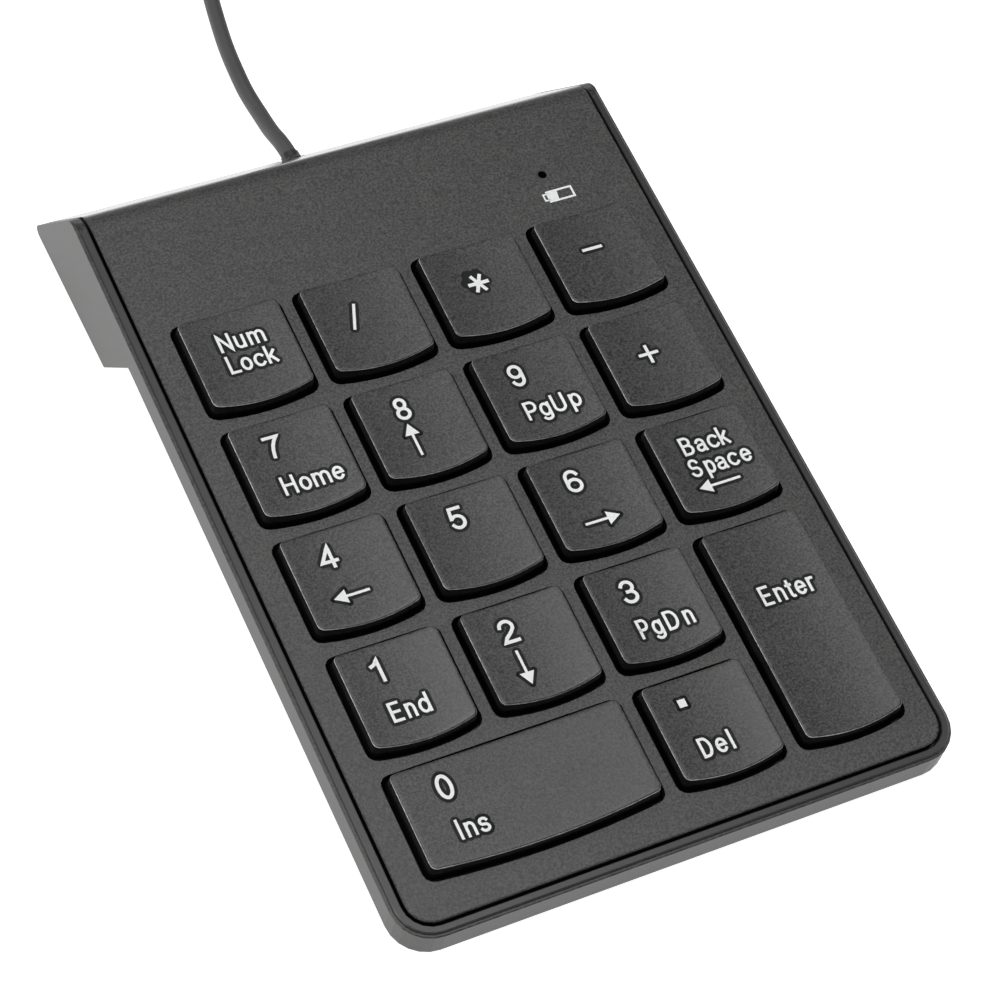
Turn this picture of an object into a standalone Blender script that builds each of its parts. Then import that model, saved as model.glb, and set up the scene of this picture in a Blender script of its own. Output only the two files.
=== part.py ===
"""Numeric keypad: a slim wired 18-key keypad with a wedge tilt, moulded cases, sprung keys and a USB lead.

The case is designed in its own tilted frame: x to the right with 0 on the centre line, y towards the rear with 0 at
the front edge of the Num Lock row, z square to the top plate with 0 on the plate. One empty, keypad_tilt, stands that
frame on the table. Lengths in the tables below are millimetres; the meshes are metres.
"""

import math

import bmesh
import bpy
from mathutils import Matrix, Vector

for leftover in list(bpy.data.objects):
    bpy.data.objects.remove(leftover, do_unlink=True)

MM = 0.001

# ---- driving dimensions (mm, degrees) ----
TILT = 5.0                 # slope of the top plate
PITCH = 19.0               # full-size key pitch, both ways
CASE_HALF_W = 43.0         # outer side walls
CASE_FRONT = -83.25
CASE_R = 5.7               # vertical front corners
WALL = 1.6
WALL_TOP = -0.8            # ledge at the top of the side wall
WALL_BOTTOM = -5.4         # where the side wall turns under
TUB_BOTTOM = -7.9          # underside of the shallow front part
TUB_INSET = 1.8
SHEET = (-39.6, 39.6, -79.6, 16.8)   # outline of the frame, the sheets and the backing plate
TUB_FLOOR = -6.6           # inside floor of the front part
RIM_HALF_W = 42.5          # raised rim, inside the ledge
RIM_FRONT = -82.8
RIM_TOP = -0.3
PLATE_HALF_W = 40.95       # top plate
PLATE_FRONT = -81.35
PLATE_R = 3.7
PLATE_T = 1.6
PLATE_GAP = 0.42           # dark groove between plate and rim
REAR_TOP = 38.7            # where the sloping rear face would meet the plate
REAR_SLOPE = 0.695         # y gained per mm of depth on the rear face
REAR_ROLL = 4.5
HUMP_Z0, HUMP_DZ = -14.6, -0.0875   # bottom of the rear hump: z = Z0 + DZ * y, level when the case stands
HUMP_FRONT_TOP = 15.25     # top of the hump's sloping front face, at WALL_BOTTOM
HUMP_FRONT_SLOPE = 0.70
FOOT_H = 0.8               # rear feet
KEY_OPEN_W = 17.3          # opening in the plate for a one-unit key
KEY_OPEN_BACK = 16.45
KEY_OPEN_SAG = 1.08        # bow of the front edge
KEY_TOP_Z = 2.4            # height of the cap's edge above the plate
KEY_SKIRT_Z = -1.0
KEY_DISH = 0.38
KEY_TRAVEL = 2.2
STEM_BOTTOM = -2.75
FRAME_TOP, FRAME_BOTTOM = -3.5, -4.4
CHIMNEY_TOP = -1.7
DOME_BASE, DOME_TOP = -5.44, -2.95
SCREW_FRONT = ((-18.85, -57.75), (18.6, -57.75))
SCREW_REAR = ((-35.5, 30.0), (35.5, 30.0))
LED_AT = (27.35, 24.87)
CORD_D = 2.6
CORD_X, CORD_Z = -1.7, 3.9            # where the cord leaves the case, world x and height
COIL_AT = (21.0, 129.5)
COIL_TURN_R = (11.9, 14.5, 17.1)      # turns side by side
COIL_LAYERS = 4
COIL_BASE = 0.75                      # underside of the lowest turns, on the tie
PLUG_Y, PLUG_X0 = 158.0, 17.0         # plug lies along +x from here

SIN, COS = math.sin(math.radians(TILT)), math.cos(math.radians(TILT))

# ---- side profile of the case, (y, z) in the tilted frame ----


def rear_y(z):
    return REAR_TOP - REAR_SLOPE * z


def hump_z(y):
    return HUMP_Z0 + HUMP_DZ * y


def cross(slope_y0, slope_z0, slope, z0, dz):
    """Where the line y = slope_y0 - slope * (z - slope_z0) meets z = z0 + dz * y."""
    z = (z0 + dz * (slope_y0 + slope * slope_z0)) / (1 + dz * slope)
    return slope_y0 - slope * (z - slope_z0), z


HUMP_FRONT_LOW = cross(HUMP_FRONT_TOP, WALL_BOTTOM, HUMP_FRONT_SLOPE, HUMP_Z0, HUMP_DZ)
HUMP_REAR_LOW = cross(REAR_TOP, 0.0, REAR_SLOPE, HUMP_Z0, HUMP_DZ)


def rounded(points, radii, steps=3):
    """A closed outline with its corners rounded: radii is one number for each point, 0 for a sharp corner."""
    out = []
    n = len(points)
    for i, (p, r) in enumerate(zip(points, radii)):
        p = Vector(p)
        if r <= 0:
            out.append((p.x, p.y))
            continue
        a = (Vector(points[i - 1]) - p).normalized()
        b = (Vector(points[(i + 1) % n]) - p).normalized()
        half = a.angle(b) / 2
        t = r / math.tan(half)
        centre = p + (a + b).normalized() * (r / math.sin(half))
        start, end = p + a * t - centre, p + b * t - centre
        turn = start.angle_signed(end)
        for k in range(steps + 1):
            # angle_signed is clockwise positive for 2D vectors
            q = Matrix.Rotation(-turn * k / steps, 2) @ start + centre
            out.append((q.x, q.y))
    return out


case_profile = rounded(
    [
        (CASE_FRONT, WALL_TOP),
        (CASE_FRONT, WALL_BOTTOM),
        (HUMP_FRONT_TOP, WALL_BOTTOM),
        HUMP_FRONT_LOW,
        HUMP_REAR_LOW,
        (rear_y(WALL_TOP), WALL_TOP),
    ],
    [0, 0, 0.6, 0.8, 0.9, REAR_ROLL - 0.5],
    6,
)

ground = min(y * SIN + z * COS for y, z in case_profile)
Z0 = FOOT_H - ground
ys = [y * COS - z * SIN for y, z in case_profile]
Y0 = -(min(ys) + max(ys)) / 2


def to_world(x, y, z):
    return x, y * COS - z * SIN + Y0, y * SIN + z * COS + Z0


def to_case(x, wy, wz):
    y, z = wy - Y0, wz - Z0
    return x, y * COS + z * SIN, -y * SIN + z * COS


tilt = bpy.data.objects.new("keypad_tilt", None)
tilt.location = (0, Y0 * MM, Z0 * MM)
tilt.rotation_euler = (math.radians(TILT), 0, 0)
bpy.context.scene.collection.objects.link(tilt)

# ---- materials ----


def material(name, colour, rough, metal=0.0):
    m = bpy.data.materials.new(name)
    m.use_nodes = True
    bsdf = m.node_tree.nodes["Principled BSDF"]
    bsdf.inputs["Base Color"].default_value = (*colour, 1)
    bsdf.inputs["Roughness"].default_value = rough
    bsdf.inputs["Metallic"].default_value = metal
    m.diffuse_color = (*colour, 1)
    return m


M_PLATE = material("plate_paint", (0.075, 0.075, 0.075), 0.55)
M_CASE = material("case_plastic", (0.09, 0.09, 0.088), 0.5)
M_KEY = material("key_paint", (0.08, 0.08, 0.079), 0.5)
M_FRAME = material("frame_plastic", (0.01, 0.01, 0.01), 0.4)
M_DOME = material("dome_silicone", (0.55, 0.56, 0.55), 0.6)
M_FILM = material("membrane_film", (0.42, 0.5, 0.48), 0.3)
M_STEEL = material("backing_steel", (0.55, 0.55, 0.54), 0.35, 1.0)
M_BOARD = material("board_green", (0.02, 0.16, 0.07), 0.45)
M_LED = material("led_resin", (0.25, 0.04, 0.03), 0.15)
M_WIRE = material("wire_steel", (0.6, 0.6, 0.58), 0.3, 1.0)
M_SCREW = material("screw_steel", (0.3, 0.3, 0.3), 0.35, 1.0)
M_RUBBER = material("foot_rubber", (0.02, 0.02, 0.02), 0.85)
M_CORD = material("cord_jacket", (0.085, 0.085, 0.088), 0.6)
M_PLUG = material("plug_plastic", (0.03, 0.03, 0.032), 0.45)
M_SHELL = material("shell_nickel", (0.7, 0.7, 0.68), 0.2, 1.0)
M_TONGUE = material("tongue_plastic", (0.85, 0.85, 0.84), 0.4)

# ---- building helpers ----


def scaled(bm):
    bmesh.ops.scale(bm, vec=(MM, MM, MM), verts=bm.verts)


def finish(name, bm, mat, parent=tilt, at=(0, 0, 0), smooth=False):
    bmesh.ops.recalc_face_normals(bm, faces=bm.faces)
    scaled(bm)
    mesh = bpy.data.meshes.new(name)
    bm.to_mesh(mesh)
    bm.free()
    return place(name, mesh, mat, parent, at, smooth)


def place(name, mesh, mat, parent=tilt, at=(0, 0, 0), smooth=False):
    ob = bpy.data.objects.new(name, mesh)
    if mat and not mesh.materials:
        mesh.materials.append(mat)
    bpy.context.scene.collection.objects.link(ob)
    ob.parent = parent
    ob.location = Vector(at) * MM
    if smooth:
        mesh.shade_smooth()
        mesh.set_sharp_from_angle(angle=math.radians(40))
    return ob


def add_prism(bm, outline, a0, a1, axis="z"):
    """A closed prism on an outline. axis z: the outline is (x, y); axis x: it is (y, z)."""
    def at(p, a):
        return (p[0], p[1], a) if axis == "z" else (a, p[0], p[1])
    low = [bm.verts.new(at(p, a0)) for p in outline]
    face = bm.faces.new(low)
    made = bmesh.ops.extrude_face_region(bm, geom=[face])
    moved = [v for v in made["geom"] if isinstance(v, bmesh.types.BMVert)]
    step = Vector((0, 0, a1 - a0)) if axis == "z" else Vector((a1 - a0, 0, 0))
    bmesh.ops.translate(bm, vec=step, verts=moved)
    return bm


def add_loft(bm, rings, cap_first=True, cap_last=True, loop=False):
    """Rings of equal count joined by quads. loop joins the last ring to the first."""
    made = [[bm.verts.new(p) for p in ring] for ring in rings]
    n = len(made[0])
    pairs = list(zip(made, made[1:])) + ([(made[-1], made[0])] if loop else [])
    for a, b in pairs:
        for i in range(n):
            j = (i + 1) % n
            bm.faces.new((a[i], a[j], b[j], b[i]))
    if cap_first and not loop:
        bm.faces.new(made[0])
    if cap_last and not loop:
        bm.faces.new(made[-1])
    return made


def add_turned(bm, profile, at, steps=16, axis="z"):
    """A solid of revolution: profile is (radius, height) from the bottom up, radius > 0 throughout; flat ends."""
    rings = []
    for r, h in profile:
        ring = []
        for k in range(steps):
            a = 2 * math.pi * (k + 0.5) / steps
            u, v = r * math.cos(a), r * math.sin(a)
            if axis == "z":
                ring.append((at[0] + u, at[1] + v, at[2] + h))
            elif axis == "y":
                ring.append((at[0] + u, at[1] + h, at[2] + v))
            else:
                ring.append((at[0] + h, at[1] + u, at[2] + v))
        rings.append(ring)
    add_loft(bm, rings)


def add_box(bm, x0, x1, y0, y1, z0, z1):
    add_prism(bm, [(x0, y0), (x1, y0), (x1, y1), (x0, y1)], z0, z1)


def helper(name, bm, parent=tilt, at=(0, 0, 0)):
    ob = finish(name, bm, None, parent, at)
    ob.hide_render = True
    ob.display_type = "WIRE"
    return ob


def boolean(ob, other, operation):
    m = ob.modifiers.new(operation.lower() + "_" + other.name, "BOOLEAN")
    m.operation = operation
    m.solver = "EXACT"
    m.object = other
    return m


def plan(half_w, front, rear, r, inset=0.0, steps=5):
    """Plan outline with rounded front corners and square rear ones."""
    w, f = half_w - inset, front + inset
    rr = max(r - inset, 0.05)
    return rounded([(-w, f), (w, f), (w, rear), (-w, rear)], [rr, rr, 0, 0], steps)


def ring_at(outline, z):
    return [(x, y, z) for x, y in outline]


# ---- key layout: name, column, row, units wide, units tall ----
KEYS = [
    ("key_num_lock", 0, 0, 1, 1), ("key_divide", 1, 0, 1, 1), ("key_multiply", 2, 0, 1, 1), ("key_subtract", 3, 0, 1, 1),
    ("key_7", 0, 1, 1, 1), ("key_8", 1, 1, 1, 1), ("key_9", 2, 1, 1, 1), ("key_add", 3, 1, 1, 1),
    ("key_4", 0, 2, 1, 1), ("key_5", 1, 2, 1, 1), ("key_6", 2, 2, 1, 1), ("key_backspace", 3, 2, 1, 1),
    ("key_1", 0, 3, 1, 1), ("key_2", 1, 3, 1, 1), ("key_3", 2, 3, 1, 1), ("key_enter", 3, 4, 1, 2),
    ("key_0", 0, 4, 2, 1), ("key_point", 2, 4, 1, 1),
]
KEYS_LEFT = -37.0


def key_outline(left, right, front, back, sag, r_front, r_back, nc=2, na=5):
    """(x, y) outline, counter-clockwise from the front left corner, with a front edge that bows forward by sag."""
    mid, half = (left + right) / 2, (right - left) / 2

    def front_y(x):
        return front - sag * (1 - ((x - mid) / half) ** 2)

    slope = math.atan(2 * sag * (half - r_front) / half**2)
    out = []
    x_end = left + r_front - r_front * math.sin(slope)
    cy = front_y(x_end) + r_front * math.cos(slope)
    for k in range(nc + 1):
        a = math.pi + (math.pi / 2 - slope) * k / nc
        out.append((left + r_front + r_front * math.cos(a), cy + r_front * math.sin(a)))
    x_far = right - r_front + r_front * math.sin(slope)
    for k in range(1, na + 1):
        x = x_end + (x_far - x_end) * k / (na + 1)
        out.append((x, front_y(x)))
    for k in range(nc + 1):
        a = 1.5 * math.pi + slope + (math.pi / 2 - slope) * k / nc
        out.append((right - r_front + r_front * math.cos(a), cy + r_front * math.sin(a)))
    for cx, a0 in ((right - r_back, 0.0), (left + r_back, math.pi / 2)):
        for k in range(nc + 1):
            a = a0 + math.pi / 2 * k / nc
            out.append((cx + r_back * math.cos(a), back - r_back + r_back * math.sin(a)))
    return out


def opening(units_w, units_t, grow=0.0, r_front=1.7, r_back=1.5, nc=3, na=7):
    """Opening of a key, relative to its cell's left edge and its front row's reference."""
    w = KEY_OPEN_W + PITCH * (units_w - 1)
    back = KEY_OPEN_BACK + PITCH * (units_t - 1)
    return key_outline(-grow, w + grow, 0.05 - grow, back + grow, KEY_OPEN_SAG, r_front, r_back, nc, na)


def key_centre(units_w, units_t):
    return (KEY_OPEN_W + PITCH * (units_w - 1)) / 2, (16.25 + PITCH * (units_t - 1)) / 2


def cell(col, row):
    return KEYS_LEFT + PITCH * col, -PITCH * row


# ---- top cover: plate, rolled rear edge and sloping rear panel in one moulding ----
face_dir = Vector((REAR_SLOPE, -1)).normalized()
inner_back = PLATE_T / abs(face_dir.y)
floor_z0 = HUMP_Z0 + WALL


def panel_end(shift):
    return cross(REAR_TOP - shift, 0.0, REAR_SLOPE, floor_z0 + 0.35, HUMP_DZ)


cover_profile = rounded(
    [
        (PLATE_FRONT, -PLATE_T),
        (rear_y(-PLATE_T) - inner_back, -PLATE_T),
        panel_end(inner_back),
        panel_end(0.0),
        (REAR_TOP, 0.0),
        (PLATE_FRONT, 0.0),
    ],
    [0, 0, 0, 0, REAR_ROLL, 0],
    8,
)
bm = bmesh.new()
add_prism(bm, cover_profile, -50, 50, "x")
cover = finish("top_cover", bm, M_PLATE)

bm = bmesh.new()
add_loft(bm, [
    ring_at(plan(PLATE_HALF_W, PLATE_FRONT, 60, PLATE_R), -30),
    ring_at(plan(PLATE_HALF_W, PLATE_FRONT, 60, PLATE_R), -0.22),
    ring_at(plan(PLATE_HALF_W, PLATE_FRONT, 60, PLATE_R, 0.07), -0.07),
    ring_at(plan(PLATE_HALF_W, PLATE_FRONT, 60, PLATE_R, 0.22), 0.0),
    ring_at(plan(PLATE_HALF_W, PLATE_FRONT, 60, PLATE_R, 0.22), 5),
])
boolean(cover, helper("cut_cover_plan", bm), "INTERSECT")

bm = bmesh.new()
for x, y in SCREW_FRONT:
    add_turned(bm, [(1.5, -5.1), (1.5, -1.0)], (x, y, 0), 12)
for x, y in SCREW_REAR:
    add_turned(bm, [(2.6, -6.9), (2.6, -1.0)], (x, y, 0), 14)
boolean(cover, helper("add_cover_bosses", bm), "UNION")

bm = bmesh.new()
for _, col, row, uw, ut in KEYS:
    ox, oy = cell(col, row)
    add_prism(bm, [(ox + x, oy + y) for x, y in opening(uw, ut)], -2.5, 1.0)
boolean(cover, helper("cut_key_openings", bm), "DIFFERENCE")

bm = bmesh.new()
add_turned(bm, [(0.7, -3), (0.7, 1)], (*LED_AT, 0), 18)
for x, y in SCREW_FRONT:
    add_turned(bm, [(0.9, -6), (0.9, -1.9)], (x, y, 0), 10)
for x, y in SCREW_REAR:
    add_turned(bm, [(1.15, -8), (1.15, -2.2)], (x, y, 0), 10)
boolean(cover, helper("cut_cover_holes", bm), "DIFFERENCE")

bm = bmesh.new()
add_turned(bm, [(2.3, -9), (2.3, 20)], (CORD_X, to_world(0, *HUMP_REAR_LOW)[1] - 4, CORD_Z), 14, "y")
cord_cut = helper("cut_cord_hole", bm, None)
boolean(cover, cord_cut, "DIFFERENCE")

# ---- bottom case: tray with a ledge and a raised rim, a shallow tub under the front and the rear hump ----
bm = bmesh.new()
add_prism(bm, case_profile, -50, 50, "x")
case = finish("bottom_case", bm, M_CASE)

bm = bmesh.new()
add_loft(bm, [
    ring_at(plan(CASE_HALF_W, CASE_FRONT, 70, CASE_R, steps=6), -30),
    ring_at(plan(CASE_HALF_W, CASE_FRONT, 70, CASE_R, steps=6), WALL_TOP - 0.15),
    ring_at(plan(CASE_HALF_W, CASE_FRONT, 70, CASE_R, 0.15, 6), WALL_TOP),
    ring_at(plan(CASE_HALF_W, CASE_FRONT, 70, CASE_R, 0.15, 6), 5),
])
boolean(case, helper("cut_case_plan", bm), "INTERSECT")

bm = bmesh.new()
add_loft(bm, [
    ring_at(plan(RIM_HALF_W, RIM_FRONT, 60, CASE_R - 0.5, steps=6), -5.0),
    ring_at(plan(RIM_HALF_W, RIM_FRONT, 60, CASE_R - 0.5, steps=6), RIM_TOP - 0.15),
    ring_at(plan(RIM_HALF_W, RIM_FRONT, 60, CASE_R - 0.5, 0.15, 6), RIM_TOP),
    ring_at(plan(RIM_HALF_W, RIM_FRONT, 60, CASE_R - 0.5, 0.15, 6), RIM_TOP + 2),
])
rim_plan = helper("cut_rim_plan", bm)
bm = bmesh.new()
# the rim follows the rear roll and stops a little short of the rear face
rim_profile = rounded([(-95, -3.0), (rear_y(-3.0) - 0.35, -3.0), (rear_y(RIM_TOP) - 0.35, RIM_TOP), (-95, RIM_TOP)], [0, 0, REAR_ROLL - 0.2, 0], 8)
add_prism(bm, rim_profile, -50, 50, "x")
rim = helper("add_rim", bm)
boolean(rim, rim_plan, "INTERSECT")
boolean(case, rim, "UNION")

bm = bmesh.new()
TUB_REAR = HUMP_FRONT_TOP + 3
add_loft(bm, [
    ring_at(plan(CASE_HALF_W, CASE_FRONT, TUB_REAR, CASE_R, TUB_INSET + 0.6), TUB_BOTTOM),
    ring_at(plan(CASE_HALF_W, CASE_FRONT, TUB_REAR, CASE_R, TUB_INSET), TUB_BOTTOM + 0.6),
    ring_at(plan(CASE_HALF_W, CASE_FRONT, TUB_REAR, CASE_R, TUB_INSET), WALL_BOTTOM + 1.0),
])
boolean(case, helper("add_tub", bm), "UNION")

inner_w = PLATE_HALF_W + PLATE_GAP
front_in = PLATE_FRONT - PLATE_GAP
hump_in = WALL * math.sqrt(1 + HUMP_FRONT_SLOPE**2)
cavity_low = cross(HUMP_FRONT_TOP + hump_in, WALL_BOTTOM, HUMP_FRONT_SLOPE, floor_z0, HUMP_DZ)
cavity_profile = [
    (front_in - 5, 2), (front_in - 5, TUB_FLOOR),
    (HUMP_FRONT_TOP + hump_in - HUMP_FRONT_SLOPE * (TUB_FLOOR - WALL_BOTTOM), TUB_FLOOR),
    cavity_low, (62, floor_z0 + HUMP_DZ * 62), (62, 2),
]
STEP = -4.0                               # the side walls stand on a shelf at this level
shelf_w, shelf_front = SHEET[1] + 0.35, SHEET[2] - 0.35
upper_plan = [
    ring_at(plan(inner_w, front_in, 65, PLATE_R + PLATE_GAP), STEP),
    ring_at(plan(inner_w, front_in, 65, PLATE_R + PLATE_GAP), RIM_TOP - 0.12),
    ring_at(plan(inner_w, front_in, 65, PLATE_R + PLATE_GAP, -0.12), RIM_TOP),
    ring_at(plan(inner_w, front_in, 65, PLATE_R + PLATE_GAP, -0.12), 5),
]
lower_plan = [ring_at(plan(shelf_w, shelf_front, 65, 0.6), z) for z in (-40, STEP + 0.1)]
rear_plan = [ring_at([(-inner_w, 17.5), (inner_w, 17.5), (inner_w, 65), (-inner_w, 65)], z) for z in (-40, STEP + 0.1)]
for tag, rings in (("upper", upper_plan), ("lower", lower_plan), ("rear", rear_plan)):
    bm = bmesh.new()
    add_prism(bm, cavity_profile, -60, 60, "x")
    cavity = helper("cut_cavity_" + tag, bm)
    bm = bmesh.new()
    add_loft(bm, rings)
    boolean(cavity, helper("plan_cavity_" + tag, bm), "INTERSECT")
    boolean(case, cavity, "DIFFERENCE")

bm = bmesh.new()
for x, y in SCREW_FRONT:
    add_turned(bm, [(2.7, -7.2), (2.7, -5.45)], (x, y, 0), 14)
for x, y in SCREW_REAR:
    add_turned(bm, [(3.6, hump_z(y) + 0.8), (3.6, -7.3)], (x, y, 0), 16)
for x in (-20.0, 20.0):
    add_turned(bm, [(2.2, hump_z(27) + 0.8), (2.2, -5.6)], (x, 27.0, 0), 10)
boolean(case, helper("add_case_posts", bm), "UNION")

bm = bmesh.new()
for x, y in SCREW_FRONT:
    add_turned(bm, [(2.1, -9.5), (2.1, -6.45), (1.0, -6.45), (1.0, -5.0)], (x, y, 0), 14)
for x, y in SCREW_REAR:
    add_turned(bm, [(2.4, -21), (2.4, -8.7), (1.2, -8.7), (1.2, -7.0)], (x, y, 0), 14)
boolean(case, helper("cut_screw_wells", bm), "DIFFERENCE")
boolean(case, cord_cut, "DIFFERENCE")

# ---- key frame: black moulding that guides the plungers ----


def stem_points(uw, ut):
    """Plunger centres in a cell. The cap of a two-unit key has one plunger in the middle."""
    cx, cy = key_centre(uw, ut)
    return cx, cy


WIRE_R = 0.45
WIRE_ARM = 7.0
WIRE_REST_RISE = KEY_TRAVEL / 2
WIRE_BAR_Z = -1.55                       # middle of the bar when the key is up
WIRE_PIVOT_Z = WIRE_BAR_Z - WIRE_REST_RISE
WIRE_SPAN = 12.0                         # half the distance between its arms
WIRE_BAR_OFF = 5.4                       # from the plunger to the bar, which passes beside the chimney
WIRE_ARM_RUN = math.sqrt(WIRE_ARM**2 - WIRE_REST_RISE**2)   # plan length of an arm at rest
WIRE_PIVOT_OFF = WIRE_ARM_RUN - WIRE_BAR_OFF
CLIP_AT = 7.5

bm = bmesh.new()
add_box(bm, *SHEET, FRAME_BOTTOM, FRAME_TOP)
frame = finish("key_frame", bm, M_FRAME)
bm = bmesh.new()
for _, col, row, uw, ut in KEYS:
    ox, oy = cell(col, row)
    cx, cy = key_centre(uw, ut)
    add_box(bm, ox + cx - 4.1, ox + cx + 4.1, oy + cy - 4.1, oy + cy + 4.1, FRAME_TOP - 0.5, CHIMNEY_TOP)
    if uw == 2 or ut == 2:
        for s in (-1, 1):
            if uw == 2:
                px, py = ox + cx + s * (WIRE_SPAN - 1.35), oy + cy + WIRE_PIVOT_OFF
                add_box(bm, px - 0.55, px + 0.55, py - 1.5, py + 1.5, FRAME_TOP - 0.5, -1.4)
            else:
                px, py = ox + cx - WIRE_PIVOT_OFF, oy + cy + s * (WIRE_SPAN - 1.35)
                add_box(bm, px - 1.5, px + 1.5, py - 0.55, py + 0.55, FRAME_TOP - 0.5, -1.4)
boolean(frame, helper("add_chimneys", bm), "UNION")
bm = bmesh.new()
for _, col, row, uw, ut in KEYS:
    ox, oy = cell(col, row)
    cx, cy = key_centre(uw, ut)
    add_box(bm, ox + cx - 3.2, ox + cx + 3.2, oy + cy - 3.2, oy + cy + 3.2, -6, 0)
    if uw == 2 or ut == 2:
        # one slot under the wire and the clips, (along, across) from the plunger
        e, c, t = WIRE_SPAN + 0.68, CLIP_AT, WIRE_PIVOT_OFF - 0.6
        lo, lo2, hi, hi2 = -WIRE_BAR_OFF - 0.85, -WIRE_BAR_OFF - 1.6, -WIRE_BAR_OFF + 0.85, -WIRE_BAR_OFF + 1.6
        right = [(c - 1.5, lo), (c - 1.5, lo2), (c + 1.5, lo2), (c + 1.5, lo), (e, lo), (e, t), (e - 1.36, t), (e - 1.36, hi), (c + 1.5, hi), (c + 1.5, hi2), (c - 1.5, hi2), (c - 1.5, hi)]
        slot = right + [(-u, v) for u, v in reversed(right)]
        if uw == 2:
            add_prism(bm, [(ox + cx + u, oy + cy + v) for u, v in slot], -6, -3.0)
        else:
            add_prism(bm, [(ox + cx - v, oy + cy + u) for u, v in slot], -6, -3.0)
    if uw == 2:
        for s in (-1, 1):
            add_turned(bm, [(0.8, -1.5), (0.8, 1.5)], (ox + cx + s * (WIRE_SPAN - 1.35), oy + cy + WIRE_PIVOT_OFF, WIRE_PIVOT_Z), 10, "x")
    if ut == 2:
        for s in (-1, 1):
            add_turned(bm, [(0.8, -1.5), (0.8, 1.5)], (ox + cx - WIRE_PIVOT_OFF, oy + cy + s * (WIRE_SPAN - 1.35), WIRE_PIVOT_Z), 10, "y")
for x, y in SCREW_FRONT:
    add_turned(bm, [(2.0, -6), (2.0, 0)], (x, y, 0), 12)
boolean(frame, helper("cut_frame_holes", bm), "DIFFERENCE")

# ---- dome sheet: one silicone sheet with a hollow dome under every key ----
bm = bmesh.new()
add_box(bm, *SHEET, DOME_BASE, DOME_BASE + 0.3)
domes = finish("dome_sheet", bm, M_DOME)
outer, inner = bmesh.new(), bmesh.new()
for _, col, row, uw, ut in KEYS:
    ox, oy = cell(col, row)
    cx, cy = key_centre(uw, ut)
    add_turned(outer, [(3.5, DOME_BASE + 0.1), (3.3, DOME_BASE + 0.5), (2.3, DOME_TOP - 0.65), (2.0, DOME_TOP)], (ox + cx, oy + cy, 0), 10)
    add_turned(inner, [(2.9, DOME_BASE - 1), (2.8, DOME_BASE + 0.4), (1.6, DOME_TOP - 0.9)], (ox + cx, oy + cy, 0), 8)
for x, y in SCREW_FRONT:
    add_turned(inner, [(2.0, -6.5), (2.0, -4)], (x, y, 0), 10)
boolean(domes, helper("add_domes", outer), "UNION")
boolean(domes, helper("cut_domes", inner), "DIFFERENCE")

# ---- membrane films and steel backing plate ----
screw_clear = bmesh.new()
for x, y in SCREW_FRONT:
    add_turned(screw_clear, [(3.1, -9), (3.1, -4)], (x, y, 0), 12)
screw_clear = helper("cut_sheet_holes", screw_clear)
x0, x1, y0, y1 = SHEET
plain = [(x0, y0), (x1, y0), (x1, y1), (x0, y1)]
tailed = [(x0, y0), (x1, y0), (x1, y1), (6, y1), (6, 25), (-9, 25), (-9, y1), (x0, y1)]
for name, outline, low, high, mat in (
    ("membrane_upper", plain, -5.61, -5.49, M_FILM),
    ("membrane_spacer", plain, -5.78, -5.66, M_FILM),
    ("membrane_lower", tailed, -5.95, -5.83, M_FILM),
    ("backing_plate", plain, -6.5, -6.0, M_STEEL),
):
    bm = bmesh.new()
    add_prism(bm, outline, low, high)
    boolean(finish(name, bm, mat), screw_clear, "DIFFERENCE")

# ---- controller board and the status light behind its hole ----
bm = bmesh.new()
add_box(bm, -30, 31, 19.8, 34.2, -5.3, -4.3)
finish("controller_board", bm, M_BOARD)
bm = bmesh.new()
add_turned(bm, [(1.7, -4.25), (1.7, -3.7), (1.5, -3.65), (1.5, -2.6), (1.25, -2.1), (0.6, -1.85)], (*LED_AT, 0), 12)
finish("status_led", bm, M_LED, smooth=True)


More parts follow.
